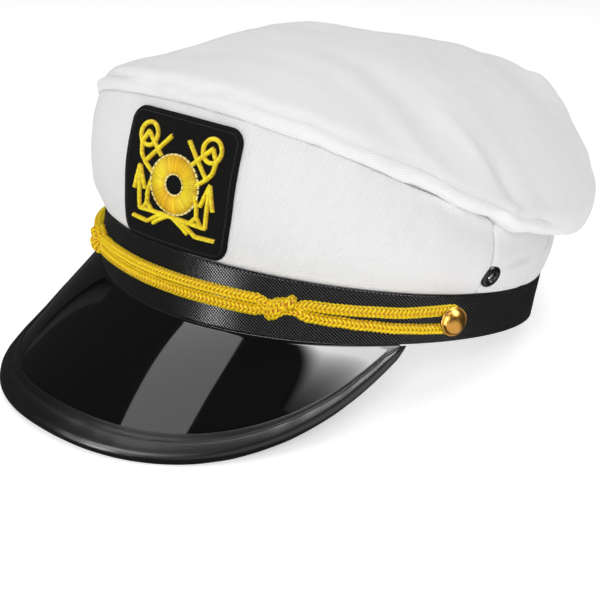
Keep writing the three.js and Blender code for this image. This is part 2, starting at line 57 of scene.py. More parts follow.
# The crown's section at every SECTION_STEP from the front, alike on both sides
CROWN = {
    "seam_out": (-1.5, 6, 4, 1, 1, 1, 1.5),
    "seam_height": (79, 75.5, 61.7, 49.7, 52.5, 61.5, 65),
    "roll_out": (3, 1, 6.6, 13, 15.5, 15.5, 15.5),
    "roll_height": (9.5, 8, 7, 10.5, 17, 30, 35),
    "bulge": (3, 5.5, 5, 3.4, 2.7, 3.3, 3.5),
}
DOME_HEIGHT, DOME_POWER, DOME_SETBACK = 113.0, 2.4, 32.0
FRONT_SEAM, REAR_SEAM, REAR_SEAM_LEAN = 76.5, 95.0, 13.0

PEAK_DEPTH, PEAK_END, PEAK_CUT = 63.5, 60.0, 58.5
PEAK_WALL, PEAK_LIFT, PEAK_DROP, PEAK_SIDE_DROP = 1.8, 3.0, 36.5, 30.0
PEAK_BEND, PEAK_SPLAY, PEAK_TUCK, PEAK_POWER, PEAK_ROOT = 3.0, 0.28, 1.4, 3.04, 0.93
FLANGE, FLANGE_WALL, BEAD_WIDTH, BEAD_HALF = 11.0, 0.8, 8.0, 3.0
BINDING_LIP, BINDING_GAP, PEAK_INSET, BINDING_END = 7.0, 0.5, 1.6, 59.8
PEAK_BEND_SPAN, PEAK_CROWDING = (30, 46), 75

CORD_RADIUS, CORD_SQUEEZED = 2.1, 1.15
# Heights of the cord's two strands over the foot of the band
CORD_ROUTE = {
    "angle": (0, 12, 25.5, 26.4, 35, 35.9, 43, 48, 57, 64),
    "upper": (15.8, 15.7, 15.1, 14.2, 14.2, 14.7, 14.1, 13.8, 13.3, 13.6),
    "lower": (11.4, 11.3, 10.8, 11.6, 11.6, 10.4, 9.4, 8.5, 7.3, 6.8),
}
CORD_OUT = CORD_RADIUS + SEAT_GAP + 0.1
KNOT_ANGLE, KNOT_HEIGHT, KNOT_SPAN = 30.7, 12.9, 4.3
BUTTON_ANGLE, BUTTON_HEIGHT, BUTTON_RADIUS = 68.7, 10.2, 5.8
BUTTON_DOME, BUTTON_ROLL, SHANK_RADIUS = 3.4, 0.42, 1.3
EYELET_ANGLE, EYELET_RISE, EYELET_RADIUS, EYELET_HOLE, EYELET_BARREL = 77.5, 0.29, 4.6, 2.2, 3.0

PATCH_WIDTH, PATCH_HEIGHT, PATCH_CORNER, PATCH_WALL, PATCH_FOOT = 56.0, 49.0, 6.0, 1.3, 1.6
PATCH_OFFSET, PATCH_NARROWING = 3.5, 0.04
THREAD_FOOT = SEAT_GAP + PATCH_WALL
LINE_HALF, LINE_HEIGHT = 0.64, 1.1
RING_RADIUS, RING_HOLE, RING_HEIGHT = 11.6, 4.4, 1.65
# The last of these turns the ring's painted sheen: its stitches are painted darker in two opposite sectors and
# lighter in the two between, in place of the sheen of radial satin stitches
RING_PLACE, RING_STRETCH, RING_SHADE_TURN = (0.7, -0.8), (1.05, 0.93), 150
# Dashes round the ring, by radius and number; then those of the seam, each on its share of the line
RING_DASHES, DASH_HALF, DASH_HEIGHT = ((RING_RADIUS + 0.15, 34), (RING_HOLE - 0.1, 15)), 0.34, 0.4
SEAM_INSET, SEAM_DASHES, SEAM_SHARE, SEAM_HALF, SEAM_HEIGHT = 1.8, 84, 0.74, 0.24, 0.34
SHACKLE = {"across": 16.3, "up": 14.9, "radius": 4.3}
# Middle lines of one anchor's bars, by distance across and up from the middle of the badge
ANCHOR_BARS = (
    ((4.7, 16.2), (15.8, 4.7)),
    ((16.6, 15.8), (8.2, 8.3)),
    ((16.6, 15.8), (19, 11.6)),
    ((19.2, 12.2), (18.4, 7.2), (15.9, 4.4), (11.8, 1.6)),
    ((18.2, 2.8), (14.7, -5.4)),
    ((18.2, 2.8), (20.4, -6)),
    ((18.1, 0.5), (17.5, -13.4), (9.5, -13.1), (-1, -13)),
    ((11.6, -2), (13, -6.5), (13.1, -10.1)),
    ((13.1, -10.1), (10, -13.1)),
    ((13.1, -10.1), (15.4, -13.1)),
    ((21.6, -17.2), (12.9, -17.6), (6.8, -14), (3, -13.2)),
    ((9.2, -17.4), (6.4, -15.6), (2, -13.4)),
)
PER_DEGREE = math.pi * HALF_LENGTH / 180
FULL_TURN = 2 * math.pi

# Soft unevenness: depth, length of a wave and seed
UNEVENNESS = {
    "wall slack": (0.42, 46, 5),
    "wall pleats": (0.22, 11, 8),
    "wall seam": (0.1, 6, 4),
    "welt width": (0.7, 26, 15),
    "top puckers": (0.34, 10, 12),
    "top slack": (0.5, 55, 21),
    "top wander": (0.22, 24, 33),
    "ribbon slack": (0.12, 30, 51),
    "binding wander": (0.07, 13, 61),
    "binding slack": (0.05, 30, 62),
    "badge slack": (0.05, 20, 71),
}
# Sewn lines: distance from the edge that each one follows, width, and height over the cloth
SEWN_LINES = {
    "wall seam": (0.0, 1.3, -0.75),
    "wall stitching": (3.2, 0.7, -0.16),
    "top seam": (3.0, 0.6, -0.08),
    "badge edge": (2.0, 0.35, -0.16),
}


# ---------- shapes of the hat, as functions ----------

def smooth(value, low, high):
    """0 below low, 1 above high, eased between."""
    share = np.clip((np.asarray(value, float) - low) / (high - low), 0, 1)
    return share * share * (3 - 2 * share)


def hump(value, middle, width):
    """1 at the middle, fading over a width on both sides."""
    return np.exp(-((value - middle) / width) ** 2)


def sewn_line(name, distance):
    """The groove of a sewn line, by distance from its edge."""
    middle, width, height = SEWN_LINES[name]
    return height * hump(distance, middle, width)


def run_of(points):
    """Distance along a line of points from its first one."""
    return np.concatenate([[0], np.cumsum(np.linalg.norm(np.diff(points, axis=0), axis=1))])


def on_line(points, run):
    """Points of a line at some distances along it."""
    place = run_of(points)
    return np.stack([np.interp(run, place, column) for column in points.T], -1)


def sin_deg(angle):
    return np.sin(np.radians(angle))


def cos_deg(angle):
    return np.cos(np.radians(angle))


def stack(*parts):
    """Coordinates put side by side, stretched to one shape."""
    return np.stack(np.broadcast_arrays(*parts), -1).astype(float)


def unit(vectors):
    return vectors / np.maximum(np.linalg.norm(vectors, axis=-1, keepdims=True), 1e-9)


def crown_value(column, angle):
    """A column of the crown's table at any angle, blended smoothly and alike on both sides."""
    table = np.asarray(CROWN[column], float)
    last = len(table) - 1
    place = np.abs((np.asarray(angle, float) + 180) % 360 - 180) / SECTION_STEP
    row = np.minimum(place.astype(int), last - 1)
    a, b, c, d = (table[last - np.abs(last - np.abs(row + k))] for k in (-1, 0, 1, 2))
    t = place - row
    return b + 0.5 * t * (c - a + t * (2 * a - 5 * b + 4 * c - d + t * (3 * (b - c) + d - a)))


def oval(angle, out, height):
    """A point beside the head opening's oval."""
    return stack((HALF_WIDTH + out) * sin_deg(angle), -(HALF_LENGTH + out) * cos_deg(angle), height)


def outward(angle):
    return stack(sin_deg(angle), -cos_deg(angle), np.zeros_like(np.asarray(angle, float)))


def band_bottom(angle):
    return BAND_SIDE_RISE * sin_deg(angle) ** 2


def band_top(angle):
    return BAND_HEIGHT - BAND_TOP_DIP * sin_deg(angle) ** 2


def wall_point(angle, rise, out=0.0):
    """A point on the crown's wall: rise is 0 at the band and 1 at the seam of the top panel."""
    foot = band_top(angle)
    height = foot + rise * (crown_value("seam_height", angle) - foot)
    swell = crown_value("bulge", angle) * np.sin(np.pi * rise)
    return oval(angle, crown_value("seam_out", angle) * rise + swell + out, height)


def on_band(angle, out, height):
    """A point beside the band, by height over its foot."""
    return oval(angle, out, band_bottom(angle) + height)


def badge_point(across, up, out):
    """A point in front of the crown, by distance from the middle of the badge."""
    narrowed = np.asarray(across, float) * (1 - PATCH_NARROWING * (0.5 - np.asarray(up, float) / PATCH_HEIGHT))
    angle = np.degrees((narrowed + PATCH_OFFSET) / (HALF_LENGTH + 1))
    rise = (PATCH_FOOT + PATCH_HEIGHT / 2 + up) / (crown_value("seam_height", angle) - band_top(angle))
    return wall_point(angle, rise, out)


def ripples(u, v, name, waves=7):
    """Soft uneven waves of the depth and length that a name stands for."""
    depth, size, seed = UNEVENNESS[name]
    rng = np.random.default_rng(seed)
    total = 0.0
    for _ in range(waves):
        heading, phase = rng.uniform(0, FULL_TURN, 2)
        length = size * rng.uniform(0.7, 1.5)
        total = total + np.sin(FULL_TURN * (u * np.cos(heading) + v * np.sin(heading)) / length + phase)
    return depth * (total / math.sqrt(waves))


def standing(points):
    """Points of the hat's own frame in millimetres, as the resting hat's metres."""
    points = np.asarray(points, float)
    lean = math.atan(REST_SLOPE)
    along, above = points[..., 1] - HALF_LENGTH, points[..., 2] - BAND_PRESSED
    y = along * math.cos(lean) + above * math.sin(lean) + HALF_LENGTH + SHIFT_Y
    z = -along * math.sin(lean) + above * math.cos(lean)
    return np.stack([points[..., 0], y, z], -1) * 0.001


def turned(directions):
    """Directions of the hat's own frame, as the resting hat's."""
    directions = np.asarray(directions, float)
    lean = math.atan(REST_SLOPE)
    y = directions[..., 1] * math.cos(lean) + directions[..., 2] * math.sin(lean)
    z = -directions[..., 1] * math.sin(lean) + directions[..., 2] * math.cos(lean)
    return np.stack([directions[..., 0], y, z], -1)


# ---------- meshes ----------

def new_object(name, data):
    """A mesh, light or camera, put in the scene."""
    made = bpy.data.objects.new(name, data)
    bpy.context.collection.objects.link(made)
    return made


def new_piece(name, points, faces, material, uv=None):
    """A mesh object from the hat's points. Points in one place become one, and faces point outwards."""
    mesh = bpy.data.meshes.new(name)
    mesh.from_pydata(standing(points).tolist(), [], [list(map(int, face)) for face in faces])
    if uv is not None:
        layer = mesh.uv_layers.new(name="cloth")
        corners = np.empty(len(mesh.loops), int)
        mesh.loops.foreach_get("vertex_index", corners)
        layer.data.foreach_set("uv", np.asarray(uv, float)[corners].ravel())
    body = bmesh.new()
    body.from_mesh(mesh)
    bmesh.ops.remove_doubles(body, verts=body.verts, dist=2e-7)
    bmesh.ops.recalc_face_normals(body, faces=body.faces)
    if body.calc_volume(signed=True) < 0:
        bmesh.ops.reverse_faces(body, faces=body.faces)
    body.to_mesh(mesh)
    body.free()
    mesh.polygons.foreach_set("use_smooth", [True] * len(mesh.polygons))
    mesh.materials.append(material)
    return new_object(name, mesh)


def grid_faces(rows, columns, is_loop, kept=None):
    """Quads between the points of a grid, and the directed edges that only one of them has."""
    wraps = rows if is_loop else rows - 1
    i, j = np.meshgrid(np.arange(wraps), np.arange(columns - 1), indexing="ij")
    if kept is not None:
        i, j = i[kept], j[kept]
    i, j = i.ravel(), j.ravel()
    k = (i + 1) % rows
    quads = np.stack([i * columns + j, k * columns + j, k * columns + j + 1, i * columns + j + 1], -1)
    edges = np.concatenate([quads[:, [a, (a + 1) % 4]] for a in range(4)])
    size = rows * columns
    forward = edges[:, 0] * size + edges[:, 1]
    backward = edges[:, 1] * size + edges[:, 0]
    return quads, edges[~np.isin(forward, backward)]


def shell(name, outer, inner, material, is_loop=False, uv=None, kept=None):
    """A closed wall between an outer and an inner grid of points, joined round its rims."""
    rows, columns = outer.shape[:2]
    quads, rim = grid_faces(rows, columns, is_loop, kept)
    count = rows * columns
    sides = np.stack([rim[:, 1], rim[:, 0], rim[:, 0] + count, rim[:, 1] + count], -1)
    faces = np.concatenate([quads, quads[:, ::-1] + count, sides])
    points = np.concatenate([outer.reshape(-1, 3), inner.reshape(-1, 3)])
    pair = None if uv is None else np.concatenate([uv.reshape(-1, 2)] * 2)
    used = np.unique(faces)
    renumbered = np.full(len(points), -1)
    renumbered[used] = np.arange(len(used))
    return new_piece(name, points[used], renumbered[faces], material, None if pair is None else pair[used])


def ring_faces(count, size, is_loop, start=0):
    """Faces through rings of points: quads, and a cap at both ends of an open body."""
    i, j = np.meshgrid(np.arange(count if is_loop else count - 1), np.arange(size), indexing="ij")
    i, j = i.ravel(), j.ravel()
    k, m = (i + 1) % count, (j + 1) % size
    faces = (start + np.stack([i * size + j, i * size + m, k * size + m, k * size + j], -1)).tolist()
    if not is_loop:
        cap = list(range(start, start + size))
        faces += [cap, [(count - 1) * size + corner for corner in reversed(cap)]]
    return faces


def tube(name, rings, material, is_loop=False, uv=None):
    """A closed body through rings of points, each ring a closed section."""
    faces = ring_faces(*rings.shape[:2], is_loop)
    return new_piece(name, rings.reshape(-1, 3), faces, material, uv)


def lathe(name, profile, place, material, sides=48):
    """A turned body: profile is (radius, height) pairs, place gives its foot and its axis."""
    foot, axis = place
    helper = np.array([0.0, 0.0, 1.0])
    side = unit(np.cross(helper, axis))
    up = np.cross(axis, side)
    turn = np.linspace(0, FULL_TURN, sides, endpoint=False)[:, None]
    radius = np.array([p[0] for p in profile])[None, :]
    height = np.array([p[1] for p in profile])[None, :]
    points = foot + (radius * np.cos(turn))[..., None] * side + (radius * np.sin(turn))[..., None] * up
    points = points + height[..., None] * axis
    return tube(name, points, material, is_loop=True)


def normals_of(grid, is_loop=False):
    """Unit normals of a grid of points, from the run of its rows and columns."""
    if is_loop:
        down = np.roll(grid, -1, 0) - np.roll(grid, 1, 0)
    else:
        down = np.gradient(grid, axis=0)
    return unit(np.cross(down, np.gradient(grid, axis=1)))


# ---------- nodes ----------

MATH, VECTOR_MATH, MAP_RANGE = "ShaderNodeMath", "ShaderNodeVectorMath", "ShaderNodeMapRange"
UV_MAP, ATTRIBUTE, MIX = "ShaderNodeUVMap", "ShaderNodeAttribute", "ShaderNodeMix"
CARRIED, RANDOM = "GeometryNodeInputNamedAttribute", "FunctionNodeRandomValue"
MESH_TO_CURVE, RESAMPLE = "GeometryNodeMeshToCurve", "GeometryNodeResampleCurve"
STORE, REALIZE = "GeometryNodeStoreNamedAttribute", "GeometryNodeRealizeInstances"
CLOTH_MAP, COLOURS, NUMBER = {"uv_map": "cloth"}, {"data_type": "RGBA"}, {"data_type": "FLOAT"}
DIRECTION, ON_POINTS = {"data_type": "FLOAT_VECTOR"}, {"data_type": "FLOAT", "domain": "POINT"}


def node(tree, kind, settings=(), links=(), output=0):
    """Adds one node and gives one of its outputs.

    Settings names its operation, or maps its properties to values. Links lists its first inputs in
    order, or maps the names or numbers of its inputs: each is a value or another node's output.
    """
    new = tree.nodes.new(kind)
    chosen = {"operation": settings} if isinstance(settings, str) else dict(settings)
    for key, value in chosen.items():
        setattr(new, key, value)
    wanted = links if isinstance(links, dict) else dict(enumerate(links))
    for key, value in wanted.items():
        socket = new.inputs[key]
        if isinstance(value, bpy.types.NodeSocket):
            tree.links.new(value, socket)
        else:
            socket.default_value = value
    return new.outputs[output] if len(new.outputs) else None


def paint(code):
    """A colour from its sRGB hex code, as the linear values that shaders take."""
    parts = [int(code[i:i + 2], 16) / 255 for i in (1, 3, 5)]
    linear = [c / 12.92 if c <= 0.04045 else ((c + 0.055) / 1.055) ** 2.4 for c in parts]
    return tuple(linear + [1.0])


def material(name, settings):
    """A material with one Principled shader, whose plain values are set on its own sockets."""
    made = bpy.data.materials.new(name)
    made.use_nodes = True
    tree = made.node_tree
    shader = tree.nodes["Principled BSDF"]
    for key, value in settings.items():
        shader.inputs[key].default_value = value
    return made, tree, shader


def place_in_mm(tree):
    """Object coordinates, in millimetres."""
    spot = node(tree, "ShaderNodeTexCoord", output="Object")
    return node(tree, "ShaderNodeMapping", {}, {"Vector": spot, "Scale": (1000, 1000, 1000)})


# A wave texture of scale 1 runs through this many radians in each unit
WAVE_TURNS = 20


def ribs(tree, coordinates, pitch, heading):
    """Straight parallel ridges at a pitch in millimetres, running along a heading in degrees."""
    laid = node(tree, "ShaderNodeMapping", {}, {
        "Vector": coordinates, "Rotation": (0, 0, math.radians(90 - heading)),
    })
    return node(tree, "ShaderNodeTexWave", {"wave_type": "BANDS", "bands_direction": "X"}, {
        "Vector": laid, "Scale": FULL_TURN / (WAVE_TURNS * pitch),
    }, "Fac")


def mottle(tree, coordinates, size, detail, stretch=(1, 1, 1)):
    """Uneven cloudiness about as large as size in millimetres."""
    laid = node(tree, "ShaderNodeMapping", {}, {"Vector": coordinates, "Scale": stretch})
    return node(tree, "ShaderNodeTexNoise", {}, {"Vector": laid, "Scale": 1 / size, "Detail": detail}, "Fac")


def weighted(tree, first, second):
    """The sum of two patterns, each given with its weight."""
    parts = [node(tree, MATH, "MULTIPLY", pair) for pair in (first, second)]
    return node(tree, MATH, "ADD", parts)


def coloured(tree, shader, share, low, high):
    """Runs the shader's colour from one to another by a share."""
    mixed = node(tree, MIX, COLOURS, {0: share, 6: low, 7: high}, 2)
    tree.links.new(mixed, shader.inputs["Base Color"])


def varied(tree, shader, label, share, low, high):
    """Runs a value of the shader from one to another by a share."""
    spread = node(tree, MAP_RANGE, {}, {"Value": share, "To Min": low, "To Max": high})
    tree.links.new(spread, shader.inputs[label])


def bump(tree, shader, height, depth_mm, under=None):
    """Relief of a depth in millimetres on a shader, over another relief if there is one."""
    links = {"Height": height, "Strength": 1.0, "Distance": depth_mm * 0.001}
    if under is not None:
        links["Normal"] = under
    raised = node(tree, "ShaderNodeBump", {}, links)
    tree.links.new(raised, shader.inputs["Normal"])
    return raised


def white_twill(name, relief):
    """Bleached polyester gabardine, woven in a steep twill: fine slanting lines, matt, a faint fuzz."""
    made, tree, shader = material(name, {
        "Roughness": 0.85, "Sheen Weight": 0.18, "Sheen Roughness": 0.5, "Specular IOR Level": 0.25,
    })
    cloth = node(tree, UV_MAP, CLOTH_MAP)
    twill = ribs(tree, cloth, 0.85, 62)
    yarns = ribs(tree, cloth, 0.42, -28)
    slubs = mottle(tree, cloth, 6.0, 3.0)
    weave = weighted(tree, (twill, 1.0), (yarns, 0.35))
    fullness = node(tree, MAP_RANGE, {}, {"Value": slubs, "To Min": 0.75, "To Max": 1.25})
    uneven = node(tree, MATH, "MULTIPLY", (weave, fullness))
    shade = weighted(tree, (twill, 0.55), (slubs, 0.45))
    coloured(tree, shader, shade, paint("#e9e9ea"), paint("#f6f6f6"))
    creased = bump(tree, shader, mottle(tree, cloth, 22.0, 3.0), 0.25)
    bump(tree, shader, uneven, relief, creased)
    return made


def black_ribbon():
    """Black polyester ribbon, woven in fine slanting ribs that glint in dots where the light grazes."""
    made, tree, shader = material("black_ribbon", {"Coat Roughness": 0.24})
    cloth = node(tree, UV_MAP, CLOTH_MAP)
    ribbing = ribs(tree, cloth, 0.95, -36)
    crossing = ribs(tree, cloth, 0.85, 60)
    knuckles = node(tree, MATH, "MULTIPLY", (ribbing, node(tree, MATH, "ADD", (crossing, 0.15))))
    cloud = mottle(tree, cloth, 9.0, 2.0)
    # Painted glint: the knuckles are painted lighter than the yarns between them, besides the real gloss and
    # relief set below
    coloured(tree, shader, knuckles, paint("#040405"), paint("#242423"))
    varied(tree, shader, "Roughness", cloud, 0.36, 0.46)
    varied(tree, shader, "Specular IOR Level", knuckles, 0.0, 0.6)
    varied(tree, shader, "Coat Weight", knuckles, 0.0, 1.0)
    bump(tree, shader, knuckles, 0.42)
    return made


def glossy_peak():
    """Polished black vinyl sheet, pressed over a former: a clear gloss with a faint slow waviness."""
    made, tree, shader = material("glossy_peak", {"Specular IOR Level": 0.5, "IOR": 1.5})
    spot = place_in_mm(tree)
    haze = mottle(tree, spot, 14.0, 2.0)
    coloured(tree, shader, haze, paint("#0a0a0b"), paint("#0e0e0f"))
    varied(tree, shader, "Roughness", haze, 0.02, 0.055)
    bump(tree, shader, mottle(tree, spot, 30.0, 0.0), 0.05)
    return made


def moulded_binding():
    """Extruded black vinyl, sewn on: a softer gloss than the peak's, with a faint fine grain."""
    made, tree, shader = material("moulded_binding", {"Specular IOR Level": 0.5})
    spot = place_in_mm(tree)
    cloud = mottle(tree, spot, 11.0, 2.0)
    coloured(tree, shader, cloud, paint("#0c0c0c"), paint("#161617"))
    varied(tree, shader, "Roughness", cloud, 0.26, 0.38)
    bump(tree, shader, mottle(tree, spot, 0.9, 3.0), 0.02)
    return made


def gold_braid():
    """Golden rayon yarn, plaited into a round cord: painted shade, bright on the raised yarns and orange
    between them.
    """
    made, tree, shader = material("gold_braid", {
        "Roughness": 0.34, "Specular IOR Level": 0.24, "Sheen Weight": 0.02, "Sheen Roughness": 0.35,
        "Sheen Tint": paint("#ffd75a"),
    })
    spot = place_in_mm(tree)
    lift = node(tree, ATTRIBUTE, {"attribute_name": "lift"}, (), "Fac")
    worn = mottle(tree, spot, 2.5, 3.0)
    # Painted shade: orange where a yarn sinks under, yellow where it lies over, with a random wear mottle
    height = node(tree, MATH, "SUBTRACT", (weighted(tree, (lift, 1.1), (worn, 0.3)), 0.26))
    coloured(tree, shader, height, paint("#b85800"), paint("#ffe214"))
    bump(tree, shader, mottle(tree, spot, 0.22, 2.0), 0.06)
    return made


def polished_brass():
    """Stamped brass, polished and lacquered: warm mirror gloss with faint wipe marks."""
    made, tree, shader = material("polished_brass", {"Metallic": 1.0})
    spot = place_in_mm(tree)
    wiped = mottle(tree, spot, 1.6, 3.0, (1, 1, 3))
    aged = mottle(tree, spot, 5.0, 2.0)
    coloured(tree, shader, aged, paint("#c68a35"), paint("#e0ab55"))
    varied(tree, shader, "Roughness", wiped, 0.22, 0.36)
    bump(tree, shader, wiped, 0.01)
    return made


def black_enamel():
    """Brass eyelet under black stoved enamel: glossy, a little worn on its rim."""
    made, tree, shader = material("black_enamel", {"Specular IOR Level": 0.4})
    rubbed = mottle(tree, place_in_mm(tree), 1.2, 3.0)
    coloured(tree, shader, rubbed, paint("#0a0a0b"), paint("#1a1a1b"))
    varied(tree, shader, "Roughness", rubbed, 0.16, 0.34)
    bump(tree, shader, rubbed, 0.02)
    return made


def worn_nickel():
    """Nickel-plated steel inside the eyelet, dulled by handling: soft grey gloss."""
    made, tree, shader = material("worn_nickel", {"Metallic": 1.0, "Roughness": 0.4})
    rubbed = mottle(tree, place_in_mm(tree), 0.8, 3.0)
    coloured(tree, shader, rubbed, paint("#5c5c5e"), paint("#a2a2a4"))
    bump(tree, shader, rubbed, 0.03)
    return made


def badge_cloth():
    """Black polyester twill on a stiff backing: matt, fine flat diagonal lines, a little lint."""
    made, tree, shader = material("badge_cloth", {"Roughness": 0.9, "Specular IOR Level": 0.06})
    cloth = node(tree, UV_MAP, CLOTH_MAP)
    twill = ribs(tree, cloth, 0.6, 45)
    yarns = ribs(tree, cloth, 0.45, -45)
    lint = mottle(tree, cloth, 0.7, 3.0)
    weave = weighted(tree, (twill, 1.0), (yarns, 0.5))
    coloured(tree, shader, weighted(tree, (weave, 0.5), (lint, 0.3)), paint("#090909"), paint("#1b1b1b"))
    bump(tree, shader, weave, 0.05)
    return made


def sewing_thread():
    """Black spun polyester sewing thread: fuzzy, a shade lighter than the cloth that it sews."""
    made, tree, shader = material("sewing_thread", {
        "Roughness": 0.7, "Specular IOR Level": 0.15, "Sheen Weight": 0.06, "Sheen Roughness": 0.4,
    })
    fuzz = mottle(tree, place_in_mm(tree), 0.5, 3.0)
    coloured(tree, shader, fuzz, paint("#101011"), paint("#252527"))
    bump(tree, shader, fuzz, 0.03)
    return made


def gold_thread():
    """Yellow rayon embroidery thread in satin stitch: silky, with painted shade that makes it bright on the
    crowns and ochre at the roots, a painted sheen by sectors on the ring, and paler dashes.
    """
    made, tree, shader = material("gold_thread", {
        "Roughness": 0.38, "Specular IOR Level": 0.35, "Sheen Weight": 0.05, "Sheen Roughness": 0.3,
        "Sheen Tint": paint("#ffe070"),
    })
    spot = place_in_mm(tree)
    lift, laid = (node(tree, ATTRIBUTE, {"attribute_name": name}, (), "Fac") for name in ("lift", "painted_sheen_and_dash_mark"))
    # Painted shade: a stitch is ochre at its roots and bright on its crown, by its lift, with a random tone per
    # stitch and a fine mottle
    height = weighted(tree, (lift, 0.8), (mottle(tree, spot, 0.9, 3.0), 0.3))
    # Painted sheen: a lit and a turned-away copy of the colours, mixed by the ring's sectors; a mark below -0.5
    # gives a dash its paler thread
    lit, turned_away = (
        node(tree, MIX, COLOURS, {0: height, 6: paint(root), 7: paint(crown)}, 2)
        for root, crown in (("#d09608", "#ffee26"), ("#c07e04", "#ffd014"))
    )
    shaded = node(tree, MIX, COLOURS, {0: laid, 6: lit, 7: turned_away}, 2)
    is_dash = node(tree, MATH, "LESS_THAN", (laid, -0.5))
    coloured(tree, shader, is_dash, shaded, paint("#fff3a8"))
    bump(tree, shader, mottle(tree, spot, 0.12, 1.0), 0.03)
    return made


def pale_floor():
    """Seamless white paper, lit a little from below so that it burns out to white."""
    made, tree, shader = material("pale_floor", {
        "Roughness": 0.9, "Specular IOR Level": 0.0, "Emission Color": (1, 1, 1, 1),
        "Emission Strength": FLOOR_GLOW,
    })
    fibres = mottle(tree, place_in_mm(tree), 3.0, 2.0)
    coloured(tree, shader, fibres, paint("#f2f2f2"), paint("#f5f5f5"))
    return made


# ---------- trees that repeat threads ----------

def geometry_tree(name, sockets):
    """An empty node tree with named inputs: name, kind and first value."""
    tree = bpy.data.node_groups.new(name, "GeometryNodeTree")
    tree.interface.new_socket(name="Geometry", in_out="INPUT", socket_type="NodeSocketGeometry")
    ids = {}
    for label, kind, value in sockets:
        socket = tree.interface.new_socket(name=label, in_out="INPUT", socket_type=kind)
        socket.default_value = value
        ids[label] = socket.identifier
    tree.interface.new_socket(name="Geometry", in_out="OUTPUT", socket_type="NodeSocketGeometry")
    return tree, ids, tree.nodes.new("NodeGroupInput").outputs


def spaced_path(tree, given, spacing):
    """The tree's path as a curve, with its points spaced evenly by one of the tree's inputs."""
    path = node(tree, MESH_TO_CURVE, {}, [given["Geometry"]])
    return node(tree, RESAMPLE, {"mode": "LENGTH"}, {0: path, "Length": given[spacing]})


def thread_bodies(tree, lines, lift, moves, section, finish):
    """Ends a tree: moves its lines, gives them round bodies, makes them real and sets their finish.

    Lift is a share that the finish paints shade by, moves is the socket that moves the points and its value,
    and section is a thread's sides, radius and thickness.
    """
    marked = node(tree, STORE, ON_POINTS, {0: lines, "Name": "lift", "Value": lift})
    placed = node(tree, "GeometryNodeSetPosition", {}, {0: marked, moves[0]: moves[1]})
    profile = node(tree, "GeometryNodeCurvePrimitiveCircle", {}, {
        "Resolution": section[0], "Radius": section[1],
    })
    threads = node(tree, "GeometryNodeCurveToMesh", {}, {
        "Curve": placed, "Profile Curve": profile, "Scale": section[2], "Fill Caps": True,
    })
    rounded = node(tree, "GeometryNodeSetShadeSmooth", {}, {0: threads, "Shade Smooth": True})
    whole = node(tree, REALIZE, {}, [rounded])
    last = node(tree, "GeometryNodeSetMaterial", {}, {0: whole, "Material": finish})
    node(tree, "NodeGroupOutput", {}, [last])


